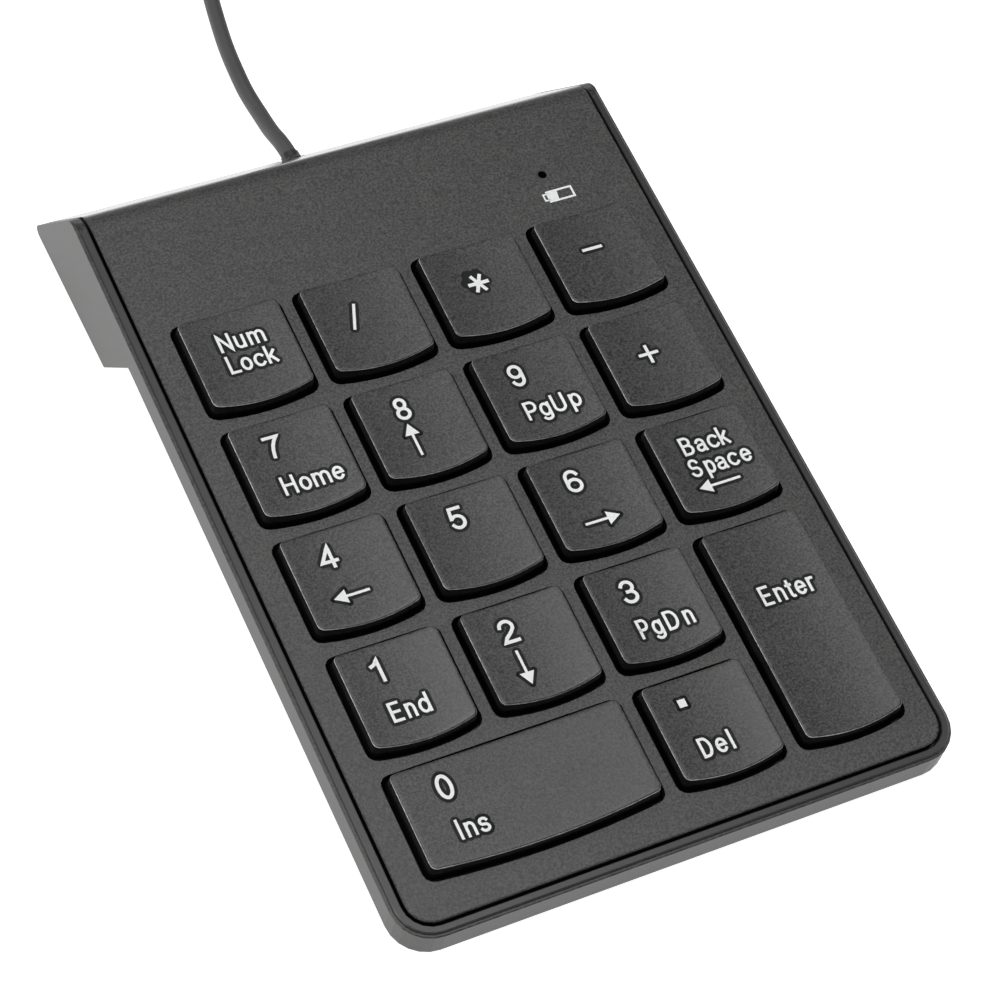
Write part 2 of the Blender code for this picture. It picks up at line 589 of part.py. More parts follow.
# ---- keycaps ----
def cap_mesh(name, uw, ut):
    """Hollow cap with its plunger, origin at the middle of the plunger on the plate's level."""
    cx, cy = key_centre(uw, ut)
    w, t = PITCH * (uw - 1), PITCH * (ut - 1)
    na = 5 if uw == 1 else 9

    def outline(left, right, front, back, sag, rf, rb, inset=0.0):
        o = key_outline(left + inset, right - inset, front + inset, back - inset, sag, max(rf - inset, 0.15), max(rb - inset, 0.15), 2, na)
        return [(x - cx, y - cy) for x, y in o]

    def top(inset):
        return outline(0.82, 16.22 + w, 0.8, 15.38 + t, 1.03, 1.0, 0.9, inset)

    def base(inset):
        return outline(0.42, 16.88 + w, 0.47, 16.05 + t, 1.06, 1.35, 1.15, inset)

    mid, half = (0.82 + 16.22 + w) / 2 - cx, (16.22 + w - 0.82) / 2

    def dished(o, drop):
        return [(x, y, KEY_TOP_Z - drop - KEY_DISH * (1 - min(1, ((x - mid) / half) ** 2))) for x, y in o]

    bm = bmesh.new()
    roof = KEY_TOP_Z - KEY_DISH - 1.1
    rings = [
        ring_at(base(1.0), KEY_SKIRT_Z),
        ring_at(base(0.0), KEY_SKIRT_Z),
        [(x, y, z) for (x, y), z in zip(top(-0.1), [KEY_TOP_Z - 0.45] * 99)],
        dished(top(0.0), 0.12),
        dished(top(0.2), 0.0),
        dished(top(3.4), 0.0),
    ]
    made = add_loft(bm, rings, cap_first=False, cap_last=True)
    lid = [bm.verts.new((x, y, roof)) for x, y in top(1.2)]
    n = len(lid)
    for i in range(n):
        j = (i + 1) % n
        bm.faces.new((made[0][i], lid[i], lid[j], made[0][j]))
    bm.faces.new(lid)
    shell = helper(name + "_shell", bm)
    bm = bmesh.new()
    s, r = 2.8, 0.8
    add_prism(bm, [(-s, -r), (-r, -r), (-r, -s), (r, -s), (r, -r), (s, -r), (s, r), (r, r), (r, s), (-r, s), (-r, r), (-s, r)], STEM_BOTTOM, roof + 0.4)
    for k in (-1, 1):
        for side in (-1, 1):
            # clips that straddle the stabiliser's bar
            if uw == 2:
                y = -WIRE_BAR_OFF + side * 1.0
                add_box(bm, k * CLIP_AT - 1.2, k * CLIP_AT + 1.2, y - 0.3, y + 0.3, WIRE_BAR_Z - 0.75, roof + 0.4)
            if ut == 2:
                x = WIRE_BAR_OFF + side * 1.0
                add_box(bm, x - 0.3, x + 0.3, k * CLIP_AT - 1.2, k * CLIP_AT + 1.2, WIRE_BAR_Z - 0.75, roof + 0.4)
    stem = helper(name + "_stem", bm)
    boolean(shell, stem, "UNION")
    graph = bpy.context.evaluated_depsgraph_get()
    mesh = bpy.data.meshes.new_from_object(shell.evaluated_get(graph))
    mesh.name = name
    mesh.materials.clear()
    mesh.materials.append(M_KEY)
    bpy.data.objects.remove(shell, do_unlink=True)
    bpy.data.objects.remove(stem, do_unlink=True)
    return mesh


caps = {(1, 1): cap_mesh("keycap_1u", 1, 1), (2, 1): cap_mesh("keycap_2u_wide", 2, 1), (1, 2): cap_mesh("keycap_2u_tall", 1, 2)}
for name, col, row, uw, ut in KEYS:
    ox, oy = cell(col, row)
    cx, cy = key_centre(uw, ut)
    cap = place(name, caps[uw, ut], M_KEY, at=(ox + cx, oy + cy, 0))


# ---- stabiliser wires: bent bars that turn in the frame's eyes, origin on the turning axis ----
def wire(name, wide, at):
    run = -WIRE_ARM_RUN if wide else WIRE_ARM_RUN
    rise = WIRE_REST_RISE
    path = [(-(WIRE_SPAN - 2.6), 0, 0), (-WIRE_SPAN, 0, 0), (-WIRE_SPAN, run, rise), (WIRE_SPAN, run, rise), (WIRE_SPAN, 0, 0), (WIRE_SPAN - 2.6, 0, 0)]
    if not wide:
        path = [(b, a, c) for a, b, c in path]
    pts = []
    for i, p in enumerate(path):
        p = Vector(p)
        if 0 < i < len(path) - 1:
            a, b = (Vector(path[i - 1]) - p).normalized(), (Vector(path[i + 1]) - p).normalized()
            pts += [p + a * 0.7, p + (a + b) * 0.2, p + b * 0.7]
        else:
            pts.append(p)
    curve = bpy.data.curves.new(name, "CURVE")
    curve.dimensions = "3D"
    curve.bevel_depth = WIRE_R * MM
    curve.bevel_resolution = 1
    curve.use_fill_caps = True
    spline = curve.splines.new("POLY")
    spline.points.add(len(pts) - 1)
    for q, p in zip(spline.points, pts):
        q.co = (*(p * MM), 1)
    curve.materials.append(M_WIRE)
    ob = bpy.data.objects.new(name, curve)
    bpy.context.scene.collection.objects.link(ob)
    ob.parent = tilt
    ob.location = Vector(at) * MM
    return ob


ox, oy = cell(0, 4)
cx, cy = key_centre(2, 1)
wire("stabiliser_wire_0", True, (ox + cx, oy + cy + WIRE_PIVOT_OFF, WIRE_PIVOT_Z))
ox, oy = cell(3, 4)
cx, cy = key_centre(1, 2)
wire("stabiliser_wire_enter", False, (ox + cx - WIRE_PIVOT_OFF, oy + cy, WIRE_PIVOT_Z))

# ---- case screws ----
for tag, (x, y) in zip(("front_left", "front_right"), SCREW_FRONT):
    bm = bmesh.new()
    add_turned(bm, [(1.45, -7.8), (1.75, -7.55), (1.75, -6.78), (0.7, -6.75), (0.7, -2.5)], (x, y, 0), 12)
    finish("case_screw_" + tag, bm, M_SCREW, smooth=True)
for tag, (x, y) in zip(("rear_left", "rear_right"), SCREW_REAR):
    bm = bmesh.new()
    add_turned(bm, [(1.7, -10.5), (2.0, -10.2), (2.0, -9.03), (0.85, -9.0), (0.85, -3.2)], (x, y, 0), 12)
    finish("case_screw_" + tag, bm, M_SCREW, smooth=True)


# ---- rubber feet, level underneath ----
def foot(name, x, wy, outline, case_z, gap=0.2):
    """A pad on the table. Its top follows the case's underside, case_z(y) in the tilted frame."""
    bm = bmesh.new()
    low = [(x + u, wy + v, 0.0) for u, v in outline]
    high = []
    for u, v in outline:
        y = (wy + v - Y0) / COS
        for _ in range(4):
            z = case_z(y)
            y = (wy + v - Y0 + z * SIN) / COS
        high.append((x + u, wy + v, y * SIN + case_z(y) * COS + Z0 - gap))
    edge = [(a + (x - a) * 0.08, b + (wy - b) * 0.08, 0.0) for a, b, _ in low]
    mid = [(a, b, 0.15) for a, b, _ in low]
    add_loft(bm, [edge, mid, high])
    finish(name, bm, M_RUBBER, None, smooth=True)


disc = [(4.5 * math.cos(2 * math.pi * k / 20), 4.5 * math.sin(2 * math.pi * k / 20)) for k in range(20)]
pad = rounded([(-7, -3), (7, -3), (7, 3), (-7, 3)], [1.5] * 4, 3)
FRONT_FOOT_Y = to_world(0, -72.0, TUB_BOTTOM)[1]
REAR_FOOT_Y = to_world(0, 44.5, hump_z(44.5))[1]
for side, s in (("left", -1), ("right", 1)):
    foot("front_foot_" + side, s * 31.0, FRONT_FOOT_Y, disc, lambda y: TUB_BOTTOM)
    foot("rear_foot_" + side, s * 31.0, REAR_FOOT_Y, pad, hump_z)

# ---- cord: grommet, inner lead, free lead, coil and plug ----
FACE_Y = to_world(0, *HUMP_REAR_LOW)[1] - (CORD_Z - FOOT_H) * (REAR_SLOPE * COS + SIN) / (COS - REAR_SLOPE * SIN)
GROM_IN, GROM_OUT = FACE_Y - 6.5, FACE_Y + 0.6
bm = bmesh.new()
add_turned(bm, [(1.7, GROM_IN), (1.95, GROM_IN + 0.4), (1.95, FACE_Y - 1.2), (1.55, FACE_Y - 0.6), (1.5, GROM_OUT)], (CORD_X, 0, CORD_Z), 14, "y")
finish("cord_grommet", bm, M_PLUG, None, smooth=True)


def smooth_path(keys, spacing):
    """Points every spacing mm on a Catmull-Rom curve through keys."""
    keys = [Vector(k) for k in keys]
    full = [keys[0] * 2 - keys[1]] + keys + [keys[-1] * 2 - keys[-2]]
    fine = []
    for i in range(1, len(full) - 2):
        p0, p1, p2, p3 = full[i - 1 : i + 3]
        for k in range(24):
            t = k / 24
            fine.append(0.5 * (2 * p1 + (p2 - p0) * t + (2 * p0 - 5 * p1 + 4 * p2 - p3) * t**2 + (3 * p1 - p0 - 3 * p2 + p3) * t**3))
    fine.append(keys[-1])
    total = sum((b - a).length for a, b in zip(fine, fine[1:]))
    count = max(2, round(total / spacing))
    out, want, gone = [fine[0]], total / count, 0.0
    for a, b in zip(fine, fine[1:]):
        step = (b - a).length
        while gone + step >= want * len(out) and len(out) < count:
            out.append(a.lerp(b, (want * len(out) - gone) / step))
        gone += step
    out.append(fine[-1])
    return out


def tube(name, keys, diameter, mat, spacing, resolution=2):
    pts = smooth_path(keys, spacing)
    curve = bpy.data.curves.new(name, "CURVE")
    curve.dimensions = "3D"
    curve.bevel_depth = diameter / 2 * MM
    curve.bevel_resolution = resolution
    curve.use_fill_caps = True
    spline = curve.splines.new("POLY")
    spline.points.add(len(pts) - 1)
    for q, p in zip(spline.points, pts):
        q.co = (*(p * MM), 1)
    curve.materials.append(mat)
    ob = bpy.data.objects.new(name, curve)
    bpy.context.scene.collection.objects.link(ob)
    return ob


LIE = CORD_D / 2 + 0.05
board_under = to_world(-8, 31, -6.9)
tube("inner_lead", [
    (CORD_X, GROM_IN - 0.3, CORD_Z), (CORD_X, GROM_IN - 4, CORD_Z + 0.1), (CORD_X - 1.5, GROM_IN - 9, 5.2),
    (-5.5, board_under[1] + 4.5, 7.5), board_under,
], CORD_D, M_CORD, 4.0)

cx, cy = COIL_AT
out_r = COIL_TURN_R[-1]
# the free lead runs from the grommet over the table to the coil
tube("cord", [
    (CORD_X, GROM_OUT + 0.3, CORD_Z),
    (CORD_X - 0.1, 70.0, 3.55),
    (CORD_X - 0.15, 73.8, 2.4),
    (CORD_X - 0.05, 78.4, LIE + 0.15),
    (-1.9, 82.1, LIE),
    (-1.85, 85.7, LIE),
    (-1.27, 92.9, LIE),
    (-0.17, 99.9, LIE),
    (1.2, 107.0, LIE),
    (2.7, 113.0, LIE),
    (cx - out_r + 0.1, cy - 11.1, LIE),
], CORD_D, M_CORD, 5.5)

bm = bmesh.new()
low, top = COIL_BASE, COIL_BASE + COIL_LAYERS * CORD_D + 0.1
ro, ri, c = COIL_TURN_R[-1] + CORD_D / 2 + 0.1, COIL_TURN_R[0] - CORD_D / 2 - 0.1, 0.9
section = [(ri + c, low), (ro - c, low), (ro, low + c), (ro, top - c), (ro - c, top), (ri + c, top), (ri, top - c), (ri, low + c)]
rings = []
for k in range(28):
    a = 2 * math.pi * k / 28
    rings.append([(cx + r * math.cos(a), cy + r * math.sin(a), z) for r, z in section])
add_loft(bm, rings, loop=True)
finish("cord_coil", bm, M_CORD, None, smooth=True)


def band(a, b, lo, hi, r):
    return rounded([(a, lo), (b, lo), (b, hi), (a, hi)], [r] * 4, 3)


# the tie is a strap round the turns, on the right-hand side of the coil
bm = bmesh.new()
outer = band(cx + ri - 0.85, cx + ro + 0.75, 0.05, top + 0.7, 1.4)
inner = band(cx + ri - 0.45, cx + ro + 0.35, 0.45, top + 0.3, 1.0)
add_loft(bm, [[(x, cy + y, z) for x, z in o] for o, y in ((outer, -1.5), (outer, 1.5), (inner, 1.5), (inner, -1.5))], loop=True)
finish("coil_tie", bm, M_PLUG, None)

TOP_LAYER = COIL_BASE + (COIL_LAYERS - 0.5) * CORD_D
PLUG_Z = 3.9
tube("cord_end", [
    (cx - out_r - 0.6, cy + 11.0, TOP_LAYER - 1.6),
    (cx - out_r - 0.3, cy + 15.0, TOP_LAYER - 4.0),
    (cx - out_r + 0.9, cy + 19.5, LIE + 1.2),
    (cx - out_r + 4.2, cy + 24.8, LIE + 0.6),
    (cx - out_r + 8.8, PLUG_Y - 0.5, PLUG_Z - 0.6),
    (PLUG_X0 - 0.3, PLUG_Y, PLUG_Z),
], CORD_D, M_CORD, 5.0)

# plug: tapered relief and grip in one moulding, metal shell, contact tongue
bm = bmesh.new()


def slab(x, hw, hh, r=1.6):
    o = rounded([(-hw, -hh), (hw, -hh), (hw, hh), (-hw, hh)], [r] * 4, 3)
    return [(x, PLUG_Y + a, PLUG_Z + b) for a, b in o]


add_loft(bm, [
    slab(PLUG_X0, 1.75, 1.75, 1.7), slab(PLUG_X0 + 8.0, 2.6, 2.5, 2.2), slab(PLUG_X0 + 8.3, 4.6, 3.2, 1.8),
    slab(PLUG_X0 + 9.6, 6.6, 3.75, 1.6), slab(PLUG_X0 + 12.0, 7.5, 3.85, 1.4), slab(PLUG_X0 + 25.6, 7.8, 3.85, 1.2),
    slab(PLUG_X0 + 26.0, 7.5, 3.6, 1.0),
])
finish("plug_grip", bm, M_PLUG, None, smooth=True)
sx = PLUG_X0 + 26.3
bm = bmesh.new()
add_box(bm, sx, sx + 12.0, PLUG_Y - 6.0, PLUG_Y + 6.0, PLUG_Z - 2.25, PLUG_Z + 2.25)
shell = finish("plug_shell", bm, M_SHELL, None)
bm = bmesh.new()
add_box(bm, sx + 0.5, sx + 13.0, PLUG_Y - 5.7, PLUG_Y + 5.7, PLUG_Z - 1.95, PLUG_Z + 1.95)
for y in (-2.6, 2.6):
    add_box(bm, sx + 5.4, sx + 7.6, PLUG_Y + y - 1.1, PLUG_Y + y + 1.1, PLUG_Z + 1.5, PLUG_Z + 3.0)
boolean(shell, helper("cut_shell", bm, None), "DIFFERENCE")
bm = bmesh.new()
add_box(bm, sx + 0.8, sx + 11.6, PLUG_Y - 5.3, PLUG_Y + 5.3, PLUG_Z - 1.65, PLUG_Z + 0.15)
finish("plug_tongue", bm, M_TONGUE, None)

bpy.context.view_layer.update()
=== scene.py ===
"""Looks of the numeric keypad: painted caps with printed legends, matt plate, satin case, rubber lead, studio light."""
import math

import bmesh
import bpy
from mathutils import Matrix, Vector


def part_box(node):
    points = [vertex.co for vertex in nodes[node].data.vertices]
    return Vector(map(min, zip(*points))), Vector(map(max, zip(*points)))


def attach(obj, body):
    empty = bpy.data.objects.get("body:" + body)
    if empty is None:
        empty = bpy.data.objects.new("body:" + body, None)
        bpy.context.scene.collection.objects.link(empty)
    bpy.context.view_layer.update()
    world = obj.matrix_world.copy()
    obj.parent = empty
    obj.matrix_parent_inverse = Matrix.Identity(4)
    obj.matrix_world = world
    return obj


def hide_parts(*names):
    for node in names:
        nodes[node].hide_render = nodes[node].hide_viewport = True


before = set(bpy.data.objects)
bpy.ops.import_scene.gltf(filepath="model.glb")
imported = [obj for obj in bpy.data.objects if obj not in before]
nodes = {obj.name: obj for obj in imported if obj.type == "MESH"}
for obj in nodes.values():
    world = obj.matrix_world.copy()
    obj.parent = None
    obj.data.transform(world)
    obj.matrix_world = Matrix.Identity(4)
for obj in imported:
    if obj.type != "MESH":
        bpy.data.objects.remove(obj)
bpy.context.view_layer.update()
scene = bpy.context.scene
scene.view_settings.view_transform = "Standard"
MM = 0.001
TILT = math.radians(5.0)

# The case's own tilted frame (mm: x right, y rear, z square to the plate) is found from the key frame moulding, a flat
# slab whose corners are known in that frame.
SIN, COS = math.sin(TILT), math.cos(TILT)
lo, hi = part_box("backing_plate")
# front bottom edge of the backing plate is at y -79.6, z -6.5 in the case's frame
Z0 = lo.z / MM - (-79.6 * SIN - 6.5 * COS)
Y0 = lo.y / MM - (-79.6 * COS + 6.0 * SIN)
CASE = Matrix.Translation((0, Y0 * MM, Z0 * MM)) @ Matrix.Rotation(TILT, 4, "X") @ Matrix.Diagonal((MM, MM, MM, 1))
PITCH = 19.0
LEFT = -37.0


# ------------------------------------------------------------------ camera
def place_camera():
    cam = bpy.data.cameras.new("camera")
    cam.sensor_width = 36.0
    cam.lens = 115.46
    cam.clip_start, cam.clip_end = 0.01, 50
    ob = bpy.data.objects.new("camera", cam)
    right = Vector((0.89608524, -0.42527334, 0.12717637))
    up = Vector((0.27960714, 0.76331446, 0.58238379))
    back = Vector((-0.34474786, -0.4863061, 0.80290428))
    m = Matrix((right, up, back)).transposed().to_4x4()
    m.translation = Vector((-159.548, -230.996, 377.836)) * MM
    ob.matrix_world = m
    scene.collection.objects.link(ob)
    scene.camera = ob


place_camera()

# ------------------------------------------------------------------ materials


def new_material(name):
    m = bpy.data.materials.new(name)
    m.use_nodes = True
    return m, m.node_tree.nodes, m.node_tree.links, m.node_tree.nodes["Principled BSDF"]


def grained(name, colour, rough, spread=0.12, grain=0.00022, bump=0.000012, rough_spread=0.05, coarse=0.006, coarse_spread=0.04, spec=0.5):
    """Moulded or painted plastic: fine mottling in colour, roughness and height, and a slow drift across the part."""
    m, n, l, b = new_material(name)
    co = n.new("ShaderNodeTexCoord")
    fine = n.new("ShaderNodeTexNoise")
    fine.inputs["Scale"].default_value = 1 / grain / 2.2
    fine.inputs["Detail"].default_value = 1.0
    fine.inputs["Roughness"].default_value = 0.55
    slow = n.new("ShaderNodeTexNoise")
    slow.inputs["Scale"].default_value = 1 / coarse
    slow.inputs["Detail"].default_value = 1.0
    l.new(co.outputs["Object"], fine.inputs["Vector"])
    l.new(co.outputs["Object"], slow.inputs["Vector"])
    ramp = n.new("ShaderNodeMapRange")
    ramp.inputs["From Min"].default_value = 0.32
    ramp.inputs["From Max"].default_value = 0.68
    ramp.inputs["To Min"].default_value = 1 - spread
    ramp.inputs["To Max"].default_value = 1 + spread
    l.new(fine.outputs["Fac"], ramp.inputs["Value"])
    ramp2 = n.new("ShaderNodeMapRange")
    ramp2.inputs["From Min"].default_value = 0.3
    ramp2.inputs["From Max"].default_value = 0.7
    ramp2.inputs["To Min"].default_value = 1 - coarse_spread
    ramp2.inputs["To Max"].default_value = 1 + coarse_spread
    l.new(slow.outputs["Fac"], ramp2.inputs["Value"])
    mul = n.new("ShaderNodeMath"); mul.operation = "MULTIPLY"
    l.new(ramp.outputs["Result"], mul.inputs[0])
    l.new(ramp2.outputs["Result"], mul.inputs[1])
    tint = n.new("ShaderNodeVectorMath"); tint.operation = "SCALE"
    tint.inputs[0].default_value = colour
    l.new(mul.outputs[0], tint.inputs["Scale"])
    l.new(tint.outputs[0], b.inputs["Base Color"])
    rr = n.new("ShaderNodeMapRange")
    rr.inputs["From Min"].default_value = 0.3
    rr.inputs["From Max"].default_value = 0.7
    rr.inputs["To Min"].default_value = rough - rough_spread
    rr.inputs["To Max"].default_value = rough + rough_spread
    l.new(fine.outputs["Fac"], rr.inputs["Value"])
    l.new(rr.outputs["Result"], b.inputs["Roughness"])
    bp = n.new("ShaderNodeBump")
    bp.inputs["Strength"].default_value = 1.0
    bp.inputs["Distance"].default_value = bump
    l.new(fine.outputs["Fac"], bp.inputs["Height"])
    l.new(bp.outputs["Normal"], b.inputs["Normal"])
    b.inputs["Specular IOR Level"].default_value = spec
    return m


def plain(name, colour, rough, metal=0.0, noise=0.0, scale=900.0, spec=0.5):
    m, n, l, b = new_material(name)
    b.inputs["Base Color"].default_value = (*colour, 1)
    b.inputs["Metallic"].default_value = metal
    b.inputs["Specular IOR Level"].default_value = spec
    co = n.new("ShaderNodeTexCoord")
    t = n.new("ShaderNodeTexNoise")
    t.inputs["Scale"].default_value = scale
    t.inputs["Detail"].default_value = 3
    l.new(co.outputs["Object"], t.inputs["Vector"])
    rr = n.new("ShaderNodeMapRange")
    rr.inputs["To Min"].default_value = max(0.02, rough - 0.06)
    rr.inputs["To Max"].default_value = rough + 0.06
    l.new(t.outputs["Fac"], rr.inputs["Value"])
    l.new(rr.outputs["Result"], b.inputs["Roughness"])
    bp = n.new("ShaderNodeBump")
    bp.inputs["Strength"].default_value = 1.0
    bp.inputs["Distance"].default_value = 0.000004 + noise
    l.new(t.outputs["Fac"], bp.inputs["Height"])
    l.new(bp.outputs["Normal"], b.inputs["Normal"])
    return m


def in_case_frame(m):
    """Two node outputs: height over the plate and distance towards the rear, both in millimetres of the case's frame."""
    n, l = m.node_tree.nodes, m.node_tree.links
    co = n.new("ShaderNodeTexCoord")
    out = []
    for axis, base in (((0, -SIN / MM, COS / MM), Y0 * SIN - Z0 * COS), ((0, COS / MM, SIN / MM), -Y0 * COS - Z0 * SIN)):
        dot = n.new("ShaderNodeVectorMath"); dot.operation = "DOT_PRODUCT"
        dot.inputs[1].default_value = axis
        l.new(co.outputs["Object"], dot.inputs[0])
        add = n.new("ShaderNodeMath"); add.operation = "ADD"
        add.inputs[1].default_value = base
        l.new(dot.outputs["Value"], add.inputs[0])
        out.append(add.outputs[0])
    return out


def step_mask(m, value, a, b):
    """0 at a and 1 at b."""
    r = m.node_tree.nodes.new("ShaderNodeMapRange")
    r.interpolation_type = "SMOOTHSTEP"
    r.inputs["From Min"].default_value = min(a, b)
    r.inputs["From Max"].default_value = max(a, b)
    r.inputs["To Min"].default_value = 0.0 if a < b else 1.0
    r.inputs["To Max"].default_value = 1.0 if a < b else 0.0
    m.node_tree.links.new(value, r.inputs["Value"])
    return r.outputs["Result"]


def both(m, a, b):
    p = m.node_tree.nodes.new("ShaderNodeMath"); p.operation = "MULTIPLY"
    m.node_tree.links.new(a, p.inputs[0])
    m.node_tree.links.new(b, p.inputs[1])
    return p.outputs[0]


def layer(m, mask, colour=None, rough=None, strength=1.0):
    """Lays another colour and roughness over a material where the mask is 1."""
    n, l, b = m.node_tree.nodes, m.node_tree.links, m.node_tree.nodes["Principled BSDF"]
    if colour is not None:
        x = n.new("ShaderNodeMix"); x.data_type = "RGBA"
        under = b.inputs["Base Color"].links[0].from_socket
        l.new(mask, x.inputs["Factor"])
        l.new(under, x.inputs["A"])
        x.inputs["B"].default_value = (*colour, 1)
        l.new(x.outputs["Result"], b.inputs["Base Color"])
    if rough is not None:
        x = n.new("ShaderNodeMix"); x.data_type = "FLOAT"
        under = b.inputs["Roughness"].links[0].from_socket
        l.new(mask, x.inputs["Factor"])
        l.new(under, x.inputs["A"])
        x.inputs["B"].default_value = rough
        l.new(x.outputs["Result"], b.inputs["Roughness"])


M_PLATE = grained("plate_paint_fine", (0.0555, 0.055, 0.0542), 0.52, spread=0.62, grain=0.00015, bump=0.00002)
height, along = in_case_frame(M_PLATE)
# near-black below the plate's top, on the walls of the openings, of the light hole and of the groove: partly the bare
# black moulding under the paint, partly painted shade in these recesses
layer(M_PLATE, both(M_PLATE, step_mask(M_PLATE, height, -0.1, -0.35), step_mask(M_PLATE, along, 36.3, 35.8)), (0.004, 0.004, 0.004), 0.42)
# the rear face is smoother than the top
layer(M_PLATE, step_mask(M_PLATE, along, 38.6, 39.6), None, 0.2)
M_CASE = grained("case_satin", (0.0424, 0.0422, 0.0407), 0.46, spread=0.5, grain=0.00022, bump=0.000012, coarse_spread=0.03)
height, along = in_case_frame(M_CASE)
# polished raised rim round the plate
layer(M_CASE, both(M_CASE, step_mask(M_CASE, height, -0.75, -0.62), step_mask(M_CASE, along, 36.5, 35.5)), (0.033, 0.033, 0.0335), 0.42)
M_TOP = grained("key_top_paint", (0.0505, 0.0505, 0.050), 0.40, spread=0.6, grain=0.00014, bump=0.000014, coarse_spread=0.04)
# painted highlight: a light band on the rounded top edge of every cap, standing in for the glint of light along that
# edge
M_EDGE_HIGHLIGHT = grained("key_edge_painted_highlight", (0.40, 0.40, 0.39), 0.35, spread=0.35, grain=0.0003, bump=0.00001, coarse_spread=0.3)
M_SIDE = plain("key_side_gloss", (0.0035, 0.0035, 0.0035), 0.22, noise=0.000001, scale=2500)
M_BLACK = plain("frame_black", (0.003, 0.003, 0.003), 0.4)
M_INK = grained("legend_ink", (0.93, 0.94, 0.94), 0.45, spread=0.04, grain=0.0002, bump=0.000003, coarse_spread=0.02)
M_HALO = grained("legend_ground", (0.006, 0.006, 0.0063), 0.6, spread=0.1, grain=0.00024, bump=0.000006, spec=0.3)
M_CORD = grained("lead_jacket", (0.07, 0.07, 0.072), 0.62, spread=0.05, grain=0.0003, bump=0.000006)
M_PLUG = grained("plug_moulding", (0.03, 0.03, 0.031), 0.5, spread=0.08, grain=0.0003, bump=0.00001)
M_RUBBER = grained("foot_rubber_matt", (0.016, 0.016, 0.016), 0.85, spread=0.1, grain=0.0004, bump=0.00002)
M_SHELL = plain("shell_nickel_plate", (0.72, 0.71, 0.69), 0.22, 1.0, 0.000002, 1500)
M_TONGUE = plain("tongue_white", (0.8, 0.8, 0.78), 0.4)
M_STEEL = plain("steel_sheet", (0.5, 0.5, 0.5), 0.35, 1.0, 0.000003, 1200)
M_SCREW = plain("screw_black_steel", (0.12, 0.12, 0.12), 0.35, 1.0, 0.000003, 2500)
M_WIRE = plain("wire_drawn", (0.6, 0.6, 0.58), 0.28, 1.0)
M_DOME = plain("silicone_milky", (0.5, 0.52, 0.5), 0.6, 0, 0.000004, 800)
M_FILM = plain("film_clear", (0.38, 0.46, 0.44), 0.25)
M_BOARD = plain("board_mask", (0.015, 0.12, 0.05), 0.4, 0, 0.000003, 1500)
M_LED = plain("led_smoked", (0.02, 0.006, 0.005), 0.2)


def paint(names, mat):
    for n in names:
        o = nodes[n]
        o.data.materials.clear()
        o.data.materials.append(mat)


paint(["top_cover"], M_PLATE)
paint(["bottom_case"], M_CASE)
paint(["key_frame"], M_BLACK)
paint(["dome_sheet"], M_DOME)
paint(["membrane_upper", "membrane_spacer", "membrane_lower"], M_FILM)
paint(["backing_plate"], M_STEEL)
paint(["controller_board"], M_BOARD)
paint(["status_led"], M_LED)
paint(["stabiliser_wire_0", "stabiliser_wire_enter"], M_WIRE)
paint([n for n in nodes if n.startswith("case_screw")], M_SCREW)
paint([n for n in nodes if "_foot_" in n], M_RUBBER)
paint(["cord_grommet", "plug_grip", "coil_tie"], M_PLUG)
paint(["inner_lead"], M_CORD)
paint(["plug_shell"], M_SHELL)
paint(["plug_tongue"], M_TONGUE)

# ------------------------------------------------------------------ lead
CORD_D = 2.6
LIE = 1.35
COIL = Vector((21.0, 129.5))
TURNS = (17.2, 14.5, 11.8)
LAYERS = [0.75 + 1.3 + 2.62 * k for k in range(4)]


def catmull(keys, closed=False, per=10):
    keys = [Vector(k) for k in keys]
    full = [keys[0] * 2 - keys[1]] + keys + [keys[-1] * 2 - keys[-2]]
    out = []
    for i in range(1, len(full) - 2):
        p0, p1, p2, p3 = full[i - 1 : i + 3]
        for k in range(per):
            t = k / per
            out.append(0.5 * (2 * p1 + (p2 - p0) * t + (2 * p0 - 5 * p1 + 4 * p2 - p3) * t**2 + (3 * p1 - p0 - 3 * p2 + p3) * t**3))
    out.append(keys[-1])
    return out


def resample(points, spacing):
    total = sum((b - a).length for a, b in zip(points, points[1:]))
    count = max(2, round(total / spacing))
    out, want, gone = [points[0]], total / count, 0.0
    for a, b in zip(points, points[1:]):
        step = (b - a).length
        while gone + step >= want * len(out) and len(out) < count:
            out.append(a.lerp(b, (want * len(out) - gone) / step))
        gone += step
    out.append(points[-1])
    return out, total


def ease(t):
    t = min(1, max(0, t))
    return t * t * (3 - 2 * t)


# (angle turned, from, to): radius steps and climbs of the wound turns, clockwise from above, each 60 degrees long
MOVES = [
    (300, "r", 0, 1), (660, "r", 1, 2), (960, "z", 0, 1),
    (1260, "r", 2, 1), (1620, "r", 1, 0), (1920, "z", 1, 2),
    (2220, "r", 0, 1), (2580, "r", 1, 2), (2880, "z", 2, 3),
    (3180, "r", 2, 1), (3540, "r", 1, 0),
]
START_ANGLE = 192.0
END_TURN = 3622.0


def coil_point(phi):
    r, z = TURNS[0], LAYERS[0]
    for at, what, a, b in MOVES:
        t = ease((phi - at) / 60)
        if t <= 0:
            continue
        if what == "r":
            r = TURNS[a] + (TURNS[b] - TURNS[a]) * t
        else:
            z = LAYERS[a] + (LAYERS[b] - LAYERS[a]) * t
    a = math.radians(START_ANGLE - phi)
    return Vector((COIL.x + r * math.cos(a), COIL.y + r * math.sin(a), z))


